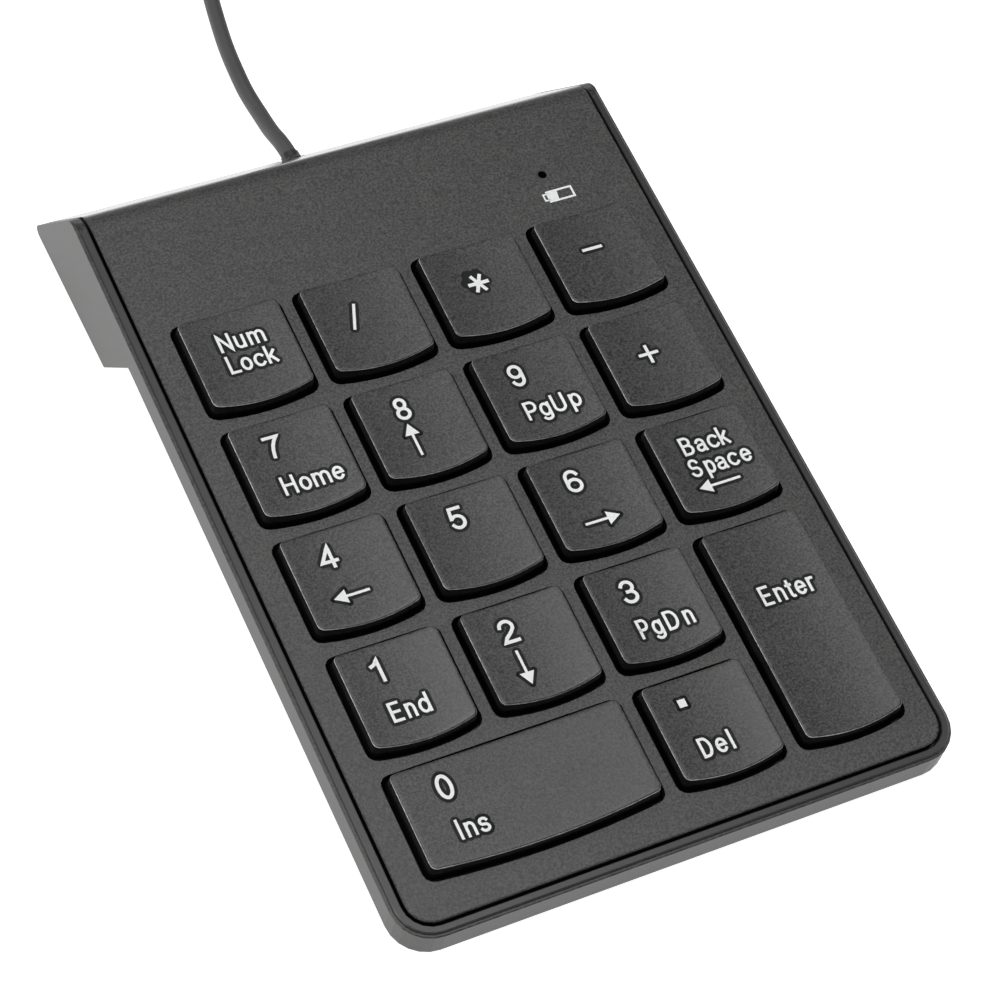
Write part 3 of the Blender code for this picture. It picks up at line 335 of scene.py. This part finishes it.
cord_lo, cord_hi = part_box("cord_grommet")
EXIT = Vector((-1.7, cord_hi.y / MM + 0.3, 3.9))
lead = [EXIT + Vector((0, -0.25, 0)), EXIT, (-1.8, 70.0, 3.55), (-1.85, 73.8, 2.4), (-1.75, 78.4, LIE + 0.15), (-1.9, 82.1, LIE), (-1.85, 85.7, LIE),
        (-1.27, 92.9, LIE), (-0.17, 99.9, LIE), (1.2, 107.0, LIE), (2.55, 113.6, LIE + 0.15), (3.6, 119.5, LAYERS[0] - 0.15)]
lead += [coil_point(phi) for phi in (0, 10, 20)]
route = catmull(lead, per=10)
route += [coil_point(phi) for phi in range(24, int(END_TURN), 4)]
tail = [coil_point(END_TURN - 20), coil_point(END_TURN - 8), (3.3, 138.8, 9.55), (3.0, 142.6, 7.3), (3.9, 147.0, 4.2), (5.9, 151.4, 2.2), (9.3, 155.3, 2.1), (13.2, 157.55, 3.1), (16.7, 158.0, 3.9)]
route = route[:-5] + catmull(tail, per=8)
route, cord_length = resample(route, 1.3)


def curve_piece(name, points, radius, mat, res=6, caps=True):
    cu = bpy.data.curves.new(name, "CURVE")
    cu.dimensions = "3D"
    cu.bevel_depth = radius * MM
    cu.bevel_resolution = res
    cu.use_fill_caps = caps
    sp = cu.splines.new("POLY")
    sp.points.add(len(points) - 1)
    for q, p in zip(sp.points, points):
        q.co = (*(Vector(p) * MM), 1)
    sp.use_smooth = True
    cu.materials.append(mat)
    ob = bpy.data.objects.new(name, cu)
    scene.collection.objects.link(ob)
    return ob


lead_ob = curve_piece("usb_lead", route, CORD_D / 2, M_CORD)
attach(lead_ob, "case")
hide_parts("cord", "cord_coil", "cord_end")
print("cord length mm", round(cord_length, 1))


# ------------------------------------------------------------------ keycaps
KEYS = [
    ("key_num_lock", 0, 0, 1, 1), ("key_divide", 1, 0, 1, 1), ("key_multiply", 2, 0, 1, 1), ("key_subtract", 3, 0, 1, 1),
    ("key_7", 0, 1, 1, 1), ("key_8", 1, 1, 1, 1), ("key_9", 2, 1, 1, 1), ("key_add", 3, 1, 1, 1),
    ("key_4", 0, 2, 1, 1), ("key_5", 1, 2, 1, 1), ("key_6", 2, 2, 1, 1), ("key_backspace", 3, 2, 1, 1),
    ("key_1", 0, 3, 1, 1), ("key_2", 1, 3, 1, 1), ("key_3", 2, 3, 1, 1), ("key_enter", 3, 4, 1, 2),
    ("key_0", 0, 4, 2, 1), ("key_point", 2, 4, 1, 1),
]
TOP_Z, DISH = 2.4, 0.38


def outline(left, right, front, back, sag, rf, rb, nc=7, na=17, ns=5):
    """(x, y) counter-clockwise from the front left corner, bowed front, rounded corners, straight runs split too."""
    mid, half = (left + right) / 2, (right - left) / 2

    def fy(x):
        return front - sag * (1 - ((x - mid) / half) ** 2)

    slope = math.atan(2 * sag * (half - rf) / half**2)
    out = []
    xe = left + rf - rf * math.sin(slope)
    cy = fy(xe) + rf * math.cos(slope)
    for k in range(nc + 1):
        a = math.pi + (math.pi / 2 - slope) * k / nc
        out.append((left + rf + rf * math.cos(a), cy + rf * math.sin(a)))
    xf = right - rf + rf * math.sin(slope)
    for k in range(1, na + 1):
        x = xe + (xf - xe) * k / (na + 1)
        out.append((x, fy(x)))
    for k in range(nc + 1):
        a = 1.5 * math.pi + slope + (math.pi / 2 - slope) * k / nc
        out.append((right - rf + rf * math.cos(a), cy + rf * math.sin(a)))
    top_y, low_y = back - rb, cy
    for k in range(1, ns + 1):
        out.append((right, low_y + (top_y - low_y) * k / (ns + 1)))
    for k in range(nc + 1):
        a = math.pi / 2 * k / nc
        out.append((right - rb + rb * math.cos(a), top_y + rb * math.sin(a)))
    for k in range(1, na + 1):
        out.append((right - rb + (left - right + 2 * rb) * k / (na + 1), back))
    for k in range(nc + 1):
        a = math.pi / 2 + math.pi / 2 * k / nc
        out.append((left + rb + rb * math.cos(a), top_y + rb * math.sin(a)))
    for k in range(1, ns + 1):
        out.append((left, top_y + (low_y - top_y) * k / (ns + 1)))
    return out


def dish_z(u, w):
    """Height of the cap's top at u from its cell's left, for a cap w wider than one unit."""
    mid, half = (0.82 + 16.22 + w) / 2, (16.22 + w - 0.82) / 2
    return TOP_Z - DISH * (1 - min(1.0, ((u - mid) / half) ** 2))


def cap_mesh(name, uw, ut):
    w, t = PITCH * (uw - 1), PITCH * (ut - 1)
    na, ns = (17 if uw == 1 else 36), (7 if ut == 1 else 15)

    def top(i):
        return outline(0.82 + i, 16.22 + w - i, 0.8 + i, 15.38 + t - i, 1.03, max(1.0 - i, 0.12), max(0.9 - i, 0.12), 7, na, ns)

    def base(i):
        return outline(0.42 + i, 16.88 + w - i, 0.47 + i, 16.05 + t - i, 1.06, max(1.35 - i, 0.15), max(1.15 - i, 0.15), 7, na, ns)

    def mix(a, b, f):
        return [(p[0] + (q[0] - p[0]) * f, p[1] + (q[1] - p[1]) * f) for p, q in zip(a, b)]

    bm = bmesh.new()
    rings = []
    rings.append([(x, y, 0.92) for x, y in top(1.3)])
    rings.append([(x, y, -0.95) for x, y in base(1.0)])
    rings.append([(x, y, -1.0) for x, y in base(0.95)])
    rings.append([(x, y, -1.0) for x, y in base(0.06)])
    rings.append([(x, y, -0.93) for x, y in base(0.0)])
    b0, t0 = base(0.0), top(-0.05)
    for f in (0.25, 0.5, 0.75, 0.92):
        ring = mix(b0, t0, f)
        rings.append([(x, y, -0.93 + (dish_z(x, w) - 0.42 + 0.93) * f) for x, y in ring])
    side_rings = len(rings)
    # rounded edge of the top, radius about a quarter of a millimetre
    r = 0.26
    for k in range(0, 6):
        a = math.radians(8 + 82 * k / 5)
        ins = r * (1 - math.cos(a)) - 0.02
        drop = r * (1 - math.sin(a))
        rings.append([(x, y, dish_z(x, w) - drop) for x, y in top(ins)])
    for i in (0.7, 1.6, 2.8, 4.2, 5.6, 6.6):
        rings.append([(x, y, dish_z(x, w)) for x, y in top(i)])
    made = [[bm.verts.new(p) for p in ring] for ring in rings]
    n = len(made[0])
    for i, (a, b) in enumerate(zip(made, made[1:])):
        for k in range(n):
            j = (k + 1) % n
            f = bm.faces.new((a[k], a[j], b[j], b[k]))
            # the two lowest bands of the top's rounded edge carry the painted edge highlight
            f.material_index = 2 if side_rings <= i <= side_rings + 1 else 0 if i >= side_rings else 1
            f.smooth = True
    roof = bm.faces.new(list(reversed(made[0])))
    roof.material_index = 1
    lid = bm.faces.new(made[-1])
    lid.material_index = 0
    lid.smooth = True
    # plunger under the roof
    cx, cy = (17.3 + w) / 2, (16.25 + t) / 2
    s, q = 2.8, 0.8
    plus = [(-s, -q), (-q, -q), (-q, -s), (q, -s), (q, -q), (s, -q), (s, q), (q, q), (q, s), (-q, s), (-q, q), (-s, q)]
    low = [bm.verts.new((cx + x, cy + y, -2.75)) for x, y in plus]
    high = [bm.verts.new((cx + x, cy + y, 1.1)) for x, y in plus]
    bm.faces.new(list(reversed(low))).material_index = 1
    bm.faces.new(high).material_index = 1
    for k in range(len(plus)):
        j = (k + 1) % len(plus)
        bm.faces.new((low[k], low[j], high[j], high[k])).material_index = 1
    bm.normal_update()
    mesh = bpy.data.meshes.new(name)
    bm.to_mesh(mesh)
    bm.free()
    mesh.materials.append(M_TOP)
    mesh.materials.append(M_SIDE)
    mesh.materials.append(M_EDGE_HIGHLIGHT)
    return mesh


def set_piece(name, mesh, offset, body, replaces=()):
    """A mesh in millimetres of the case's frame, moved by offset, as a piece on a body."""
    mesh = mesh.copy()
    mesh.transform(CASE @ Matrix.Translation(offset))
    mesh.name = name
    ob = bpy.data.objects.new(name, mesh)
    scene.collection.objects.link(ob)
    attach(ob, body)
    if replaces:
        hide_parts(*replaces)
    return ob


cap_meshes = {(uw, ut): cap_mesh(f"cap_{uw}_{ut}", uw, ut) for uw, ut in ((1, 1), (2, 1), (1, 2))}
where = {}
for name, col, row, uw, ut in KEYS:
    ox, oy = LEFT + PITCH * col, -PITCH * row
    where[name] = (ox, oy, uw)
    set_piece(name + "_cap", cap_meshes[uw, ut], (ox, oy, 0), name, [name])

# ------------------------------------------------------------------ printed legends: monoline strokes, height 1 for capitals
T, B, X, H = 0.93, 0.07, 0.665, 0.07


def arc(cx, cy, rx, ry, a0, a1, n=14):
    return [(cx + rx * math.cos(math.radians(a0 + (a1 - a0) * k / n)), cy + ry * math.sin(math.radians(a0 + (a1 - a0) * k / n))) for k in range(n + 1)]


def oval(cx, cy, rx, ry):
    return arc(cx, cy, rx, ry, 90, 450, 28)


GLYPHS = {
    "N": [[(0.07, B), (0.07, T), (0.58, B), (0.58, T)]],
    "u": [[(0.07, X)] + arc(0.245, 0.25, 0.175, 0.185, 180, 360) + [(0.42, X)], [(0.42, 0.35), (0.42, B)]],
    "m": [[(0.07, B), (0.07, X)], arc(0.22, 0.46, 0.15, 0.2, 180, 0) + [(0.37, B)], arc(0.53, 0.46, 0.16, 0.2, 180, 0) + [(0.69, B)]],
    "L": [[(0.07, T), (0.07, B), (0.47, B)]],
    "o": [oval(0.26, 0.3675, 0.195, 0.2975)],
    "c": [arc(0.26, 0.3675, 0.19, 0.2975, 42, 318, 22)],
    "k": [[(0.07, B), (0.07, T)], [(0.41, X), (0.09, 0.31)], [(0.2, 0.43), (0.43, B)]],
    "H": [[(0.07, B), (0.07, T)], [(0.57, B), (0.57, T)], [(0.07, 0.52), (0.57, 0.52)]],
    "e": [[(0.08, 0.385), (0.45, 0.385)] + arc(0.26, 0.3675, 0.19, 0.2975, 4, 318, 24)],
    "P": [[(0.07, B), (0.07, T), (0.31, T)] + arc(0.31, 0.69, 0.21, 0.24, 90, -90) + [(0.07, 0.45)]],
    "g": [oval(0.25, 0.3675, 0.18, 0.2975), [(0.43, X)] + arc(0.25, -0.01, 0.18, 0.17, 0, -155)],
    "U": [[(0.07, T)] + arc(0.315, 0.32, 0.245, 0.25, 180, 360) + [(0.56, T)]],
    "p": [[(0.07, X), (0.07, -0.19)], oval(0.255, 0.3675, 0.185, 0.2975)],
    "1": [[(0.1, 0.72), (0.2, 0.78), (0.3, T), (0.3, B)]],
    "2": [arc(0.265, 0.69, 0.19, 0.24, 172, -25) + [(0.36, 0.46), (0.16, 0.25), (0.075, B), (0.47, B)]],
    "3": [arc(0.26, 0.715, 0.175, 0.215, 158, -75) + [(0.23, 0.51)], [(0.23, 0.51)] + arc(0.26, 0.295, 0.195, 0.225, 72, -160)],
    "4": [[(0.36, B), (0.36, T), (0.05, 0.3), (0.49, 0.3)]],
    "5": [[(0.44, T), (0.14, T), (0.1, 0.5)] + arc(0.265, 0.335, 0.19, 0.265, 142, -155)],
    "6": [arc(0.265, 0.66, 0.185, 0.27, 25, 170) + [(0.075, 0.4)], oval(0.265, 0.32, 0.19, 0.25)],
    "7": [[(0.06, T), (0.47, T), (0.36, 0.76), (0.27, 0.56), (0.21, 0.32), (0.18, B)]],
    "8": [oval(0.265, 0.72, 0.165, 0.21), oval(0.265, 0.29, 0.195, 0.22)],
    "9": [arc(0.265, 0.34, 0.185, 0.27, 205, 350) + [(0.455, 0.6)], oval(0.265, 0.68, 0.19, 0.25)],
    "0": [oval(0.265, 0.5, 0.195, 0.43)],
    "B": [[(0.07, B), (0.07, T), (0.3, T)] + arc(0.3, 0.73, 0.17, 0.2, 90, -90) + [(0.07, 0.53)], [(0.3, 0.53)] + arc(0.315, 0.3, 0.195, 0.23, 90, -90) + [(0.07, B)]],
    "a": [arc(0.24, 0.49, 0.165, 0.175, 158, 0) + [(0.405, 0.2), (0.44, B)], [(0.405, 0.4), (0.26, 0.375)] + arc(0.205, 0.22, 0.135, 0.15, 95, 270) + arc(0.25, 0.3, 0.155, 0.22, 285, 345)],
    "S": [arc(0.29, 0.7, 0.2, 0.23, 22, 235) + arc(0.29, 0.295, 0.215, 0.225, 65, -162)],
    "E": [[(0.5, T), (0.07, T), (0.07, B), (0.51, B)], [(0.07, 0.51), (0.47, 0.51)]],
    "n": [[(0.07, B), (0.07, X)], arc(0.245, 0.45, 0.175, 0.215, 180, 0) + [(0.42, B)]],
    "d": [oval(0.25, 0.3675, 0.18, 0.2975), [(0.43, B), (0.43, T)]],
    "D": [[(0.07, T), (0.27, T)] + arc(0.27, 0.5, 0.29, 0.43, 90, -90) + [(0.07, B), (0.07, T)]],
    "I": [[(0.09, B), (0.09, T)]],
    "s": [arc(0.225, 0.515, 0.15, 0.15, 22, 235) + arc(0.225, 0.225, 0.165, 0.155, 65, -160)],
    "t": [[(0.14, 0.86)] + arc(0.24, 0.19, 0.1, 0.12, 180, 285), [(0.03, X), (0.26, X)]],
    "r": [[(0.07, B), (0.07, X)], arc(0.23, 0.46, 0.16, 0.2, 180, 75)],
    "l": [[(0.07, B), (0.07, T)]],
    "/": [[(0.07, B), (0.33, T)]],
}


def text_strokes(word, spans, y, height):
    """Strokes of a word in cell coordinates: spans holds the left and right edge of each letter's ink."""
    out, half = [], H * height
    for ch, (x0, x1) in zip(word, spans):
        strokes = GLYPHS[ch]
        xs = [a for st in strokes for a, _ in st]
        lo_x, hi_x = min(xs), max(xs)
        wide = hi_x - lo_x
        for st in strokes:
            if wide < 1e-6:
                out.append([((x0 + x1) / 2, y + b * height) for a, b in st])
            else:
                k = (x1 - x0 - 2 * half) / wide
                out.append([(x0 + half + (a - lo_x) * k, y + b * height) for a, b in st])
    return out


def split(points, most):
    out = [points[0]]
    for a, b in zip(points, points[1:]):
        d = math.dist(a, b)
        n = max(1, math.ceil(d / most))
        for k in range(1, n + 1):
            out.append((a[0] + (b[0] - a[0]) * k / n, a[1] + (b[1] - a[1]) * k / n))
    return out


def add_ribbon(bm, pts, half, lift, height_at, square=True, corners=True):
    """A flat stroke of width 2 * half along pts."""
    pts = [p for i, p in enumerate(pts) if i == 0 or math.dist(p, pts[i - 1]) > 1e-5]
    closed = math.dist(pts[0], pts[-1]) < 1e-4
    if closed:
        pts = pts[:-1]
    n = len(pts)
    if not closed and square:
        def push(p, q):
            d = math.dist(p, q)
            return (p[0] + (p[0] - q[0]) / d * half, p[1] + (p[1] - q[1]) / d * half)
        pts = [push(pts[0], pts[1])] + pts[1:-1] + [push(pts[-1], pts[-2])]
    pts2 = split(pts + ([pts[0]] if closed else []), 0.5)
    if closed:
        pts2 = pts2[:-1]
    n = len(pts2)
    left, right = [], []
    for i, p in enumerate(pts2):
        a = pts2[i - 1] if (i > 0 or closed) else None
        b = pts2[(i + 1) % n] if (i < n - 1 or closed) else None
        d1 = Vector((p[0] - a[0], p[1] - a[1])).normalized() if a else None
        d2 = Vector((b[0] - p[0], b[1] - p[1])).normalized() if b else None
        d1, d2 = d1 or d2, d2 or d1
        n1, n2 = Vector((-d1.y, d1.x)), Vector((-d2.y, d2.x))
        m = n1 + n2
        if m.length < 0.35:
            m = n1.copy()
            k = 1.0
        else:
            m.normalize()
            k = min(1 / max(m.dot(n1), 0.2), 2.6)
        left.append((p[0] + m.x * half * k, p[1] + m.y * half * k))
        right.append((p[0] - m.x * half * k, p[1] - m.y * half * k))
    lv = [bm.verts.new((x, y, height_at(x) + lift)) for x, y in left]
    rv = [bm.verts.new((x, y, height_at(x) + lift)) for x, y in right]
    for i in range(n if closed else n - 1):
        j = (i + 1) % n
        f = bm.faces.new((rv[i], rv[j], lv[j], lv[i]))
        f.smooth = True
    return pts2


def add_disc(bm, p, r, lift, height_at, n=14):
    vs = [(p[0] + r * math.cos(2 * math.pi * k / n), p[1] + r * math.sin(2 * math.pi * k / n)) for k in range(n)]
    f = bm.faces.new([bm.verts.new((x, y, height_at(x) + lift)) for x, y in vs])
    f.smooth = True


def add_patch(bm, pts, lift, height_at):
    f = bm.faces.new([bm.verts.new((x, y, height_at(x) + lift)) for x, y in pts])
    if f.calc_area() and f.normal.z < 0:
        f.normal_flip()
    f.smooth = True


HALO, INK = 0.02, 0.04
HALO_WIDE = 0.5


def arrow(x0, y0, x1, y1, head=1.95, half=1.1, line=0.2):
    """Stroke and head of an arrow that points from 0 to 1."""
    d = Vector((x1 - x0, y1 - y0)).normalized()
    s = Vector((-d.y, d.x))
    tip = Vector((x1, y1))
    neck = tip - d * head
    return [[(x0, y0), tuple(neck + d * 0.2)]], [[tuple(tip), tuple(neck + s * half), tuple(neck - s * half)]], line


def legend(key, parts):
    """parts: ("text", word, spans, y, height), ("stroke", points, half width), ("arrow", x0, y0, x1, y1), ("square", x, y, size), ("ground", discs)."""
    ox, oy, uw = where[key]
    w = PITCH * (uw - 1)

    def h(x):
        return dish_z(x, w)

    ink, halo = bmesh.new(), bmesh.new()
    lift = [0]

    def stroke(pts, half):
        lift[0] += 1
        e = lift[0] * 0.00012
        done = add_ribbon(ink, pts, half, INK + e, h)
        for p in split(pts, 0.35):
            add_disc(halo, p, half + HALO_WIDE, HALO, h)
        for p, q in zip(pts, pts[1:]):
            if math.dist(p, q) > 0.001:
                add_ribbon(halo, [p, q], half + HALO_WIDE, HALO + 0.00004, h, square=False)

    for kind, *a in parts:
        if kind == "text":
            word, spans, y, height = a
            for s in text_strokes(word, spans, y, height):
                stroke(s, H * height)
        elif kind == "stroke":
            stroke(a[0], a[1] if len(a) > 1 else 0.22)
        elif kind == "arrow":
            strokes, heads, line = arrow(*a)
            for s in strokes:
                stroke(s, line)
            for tri in heads:
                add_patch(ink, tri, INK + 0.004, h)
                for p, q in zip(tri, tri[1:] + tri[:1]):
                    for z in split([p, q], 0.35):
                        add_disc(halo, z, HALO_WIDE, HALO, h)
                add_patch(halo, tri, HALO, h)
        elif kind == "ground":
            for x, y, r in a[0]:
                add_disc(halo, (x, y), r, HALO, h, 32)
        elif kind == "square":
            x, y, s = a
            sq = [(x - s / 2, y - s / 2), (x + s / 2, y - s / 2), (x + s / 2, y + s / 2), (x - s / 2, y + s / 2)]
            add_patch(ink, sq, INK, h)
            for p, q in zip(sq, sq[1:] + sq[:1]):
                for z in split([p, q], 0.35):
                    add_disc(halo, z, HALO_WIDE, HALO, h)
            add_patch(halo, sq, HALO, h)
    for bm, tag, mat in ((halo, "_ground", M_HALO), (ink, "_legend", M_INK)):
        for f in bm.faces:
            f.normal_update()
            if f.normal.z < 0:
                f.normal_flip()
        mesh = bpy.data.meshes.new(key + tag)
        bm.to_mesh(mesh)
        bm.free()
        mesh.materials.append(mat)
        set_piece(key + tag, mesh, (ox, oy, 0), key)


LEGENDS = {
    "key_num_lock": [("text", "Num", [(5.25, 7.3), (7.75, 9.3), (9.8, 12.3)], 8.9, 3.1), ("text", "Lock", [(5.25, 6.9), (7.15, 8.85), (9.15, 10.8), (11.1, 12.65)], 5.1, 3.1)],
    "key_divide": [("stroke", [(6.15, 6.85), (7.6, 10.7)], 0.22)],
    "key_multiply": [
        ("stroke", [(6.4, 8.48), (9.1, 8.48)], 0.3), ("stroke", [(7.12, 9.72), (8.4, 7.25)], 0.27), ("stroke", [(8.42, 9.72), (7.1, 7.25)], 0.27),
        ("ground", [(7.3, 9.15, 1.75), (6.6, 10.25, 0.85), (8.1, 10.2, 0.85), (5.95, 8.95, 0.8), (8.65, 9.0, 0.85), (6.7, 7.85, 0.85), (8.2, 7.7, 0.8)]),
    ],
    "key_subtract": [("stroke", [(6.35, 8.9), (9.15, 8.9)], 0.25)],
    "key_7": [("text", "7", [(5.0, 7.45)], 9.2, 3.7), ("text", "Home", [(4.85, 6.9), (7.35, 9.1), (9.4, 12.0), (12.35, 14.05)], 3.0, 3.1)],
    "key_8": [("text", "8", [(5.95, 8.2)], 9.15, 3.75), ("arrow", 6.8, 3.2, 6.8, 8.5)],
    "key_9": [("text", "9", [(5.1, 7.4)], 9.0, 3.75), ("text", "PgUp", [(4.87, 6.8), (7.05, 8.75), (9.2, 11.2), (11.9, 13.6)], 3.2, 3.1)],
    "key_add": [("stroke", [(6.25, 8.15), (8.95, 8.15)], 0.25), ("stroke", [(7.62, 6.75), (7.62, 9.45)], 0.25)],
    "key_4": [("text", "4", [(5.1, 7.8)], 9.2, 3.7), ("arrow", 9.8, 4.55, 4.6, 4.55)],
    "key_5": [("text", "5", [(6.0, 8.3)], 9.05, 3.7)],
    "key_6": [("text", "6", [(5.25, 7.75)], 9.1, 3.75), ("arrow", 5.3, 3.85, 10.6, 3.85)],
    "key_backspace": [
        ("text", "Back", [(4.9, 6.75), (7.15, 8.8), (9.1, 10.8), (11.0, 12.5)], 9.3, 3.1),
        ("text", "Space", [(4.5, 6.25), (6.9, 8.45), (8.7, 10.35), (10.6, 12.25), (12.65, 14.3)], 5.6, 3.05), ("arrow", 10.9, 3.75, 4.4, 3.75),
    ],
    "key_1": [("text", "1", [(5.0, 6.55)], 9.6, 3.7), ("text", "End", [(4.85, 6.55), (7.1, 8.55), (9.0, 10.7)], 3.35, 3.1)],
    "key_2": [("text", "2", [(5.15, 7.65)], 9.1, 3.75), ("arrow", 6.2, 7.7, 6.2, 2.4)],
    "key_3": [("text", "3", [(5.05, 7.4)], 9.1, 3.75), ("text", "PgDn", [(4.8, 6.45), (6.85, 8.45), (9.05, 11.0), (11.85, 13.25)], 3.4, 3.1)],
    "key_enter": [("text", "Enter", [(4.75, 6.4), (6.95, 8.5), (8.85, 9.9), (10.2, 11.85), (12.2, 13.3)], 21.25, 3.15)],
    "key_0": [("text", "0", [(6.15, 8.5)], 9.45, 3.8), ("text", "Ins", [(6.35, 6.85), (7.4, 8.9), (9.4, 10.9)], 3.4, 3.05)],
    "key_point": [("square", 5.57, 11.63, 1.22), ("text", "Del", [(4.8, 6.6), (7.1, 8.8), (9.35, 9.8)], 2.9, 3.1)],
}
for k, parts in LEGENDS.items():
    legend(k, parts)

# ------------------------------------------------------------------ battery mark on the plate
bm = bmesh.new()


def flat(x):
    return 0.0


def mark(pts, half):
    add_ribbon(bm, pts, half, 0.03, flat)


XO = LEFT
mark([(XO + 63.45, 19.83), (XO + 67.5, 19.83), (XO + 67.5, 21.62), (XO + 63.45, 21.62), (XO + 63.45, 19.83)], 0.17)
mark([(XO + 63.4, 20.2), (XO + 62.77, 20.2), (XO + 62.77, 21.3), (XO + 63.4, 21.3)], 0.14)
add_patch(bm, [(XO + 63.4, 19.9), (XO + 64.9, 19.9), (XO + 65.15, 21.6), (XO + 63.4, 21.6)], 0.026, flat)
for f in bm.faces:
    f.normal_update()
    if f.normal.z < 0:
        f.normal_flip()
mesh = bpy.data.meshes.new("battery_mark")
bm.to_mesh(mesh)
bm.free()
mesh.materials.append(M_INK)
set_piece("battery_mark", mesh, (0, 0, 0), "case")

# ------------------------------------------------------------------ stage and light
bm = bmesh.new()
bmesh.ops.create_grid(bm, x_segments=2, y_segments=2, size=6)
mesh = bpy.data.meshes.new("floor")
bm.to_mesh(mesh)
bm.free()
floor = bpy.data.objects.new("floor", mesh)
floor.location = (0, 0, -0.0002)
scene.collection.objects.link(floor)
m, n, l, b = new_material("floor_white")
b.inputs["Base Color"].default_value = (0.56, 0.56, 0.56, 1)
b.inputs["Roughness"].default_value = 0.9
b.inputs["Emission Color"].default_value = (1, 1, 1, 1)
b.inputs["Emission Strength"].default_value = 0.99
mesh.materials.append(m)

world = bpy.data.worlds.new("studio")
scene.world = world
world.use_nodes = True
world.node_tree.nodes["Background"].inputs["Color"].default_value = (1, 1, 1, 1)
world.node_tree.nodes["Background"].inputs["Strength"].default_value = 0.03


def softbox(name, at, target, size, power, size_y=None):
    li = bpy.data.lights.new(name, "AREA")
    li.shape = "RECTANGLE"
    li.size = size
    li.size_y = size_y or size
    li.energy = power
    ob = bpy.data.objects.new(name, li)
    ob.location = at
    ob.rotation_mode = "QUATERNION"
    ob.rotation_quaternion = (Vector(target) - Vector(at)).to_track_quat("-Z", "Y")
    scene.collection.objects.link(ob)
    return ob


def around(az, el, reach=1.2):
    a, e = math.radians(az), math.radians(el)
    return (reach * math.cos(e) * math.cos(a), reach * math.cos(e) * math.sin(a), reach * math.sin(e))


softbox("low_left", around(180, 14), (0, 0, 0), 0.5, 5.6, 0.35)
softbox("rear_high", around(90, 58), (0, 0, 0), 0.5, 1.35, 0.35)
softbox("overhead", (0, 0, 1.2), (0, 0, 0), 0.7, 9.7, 0.5)
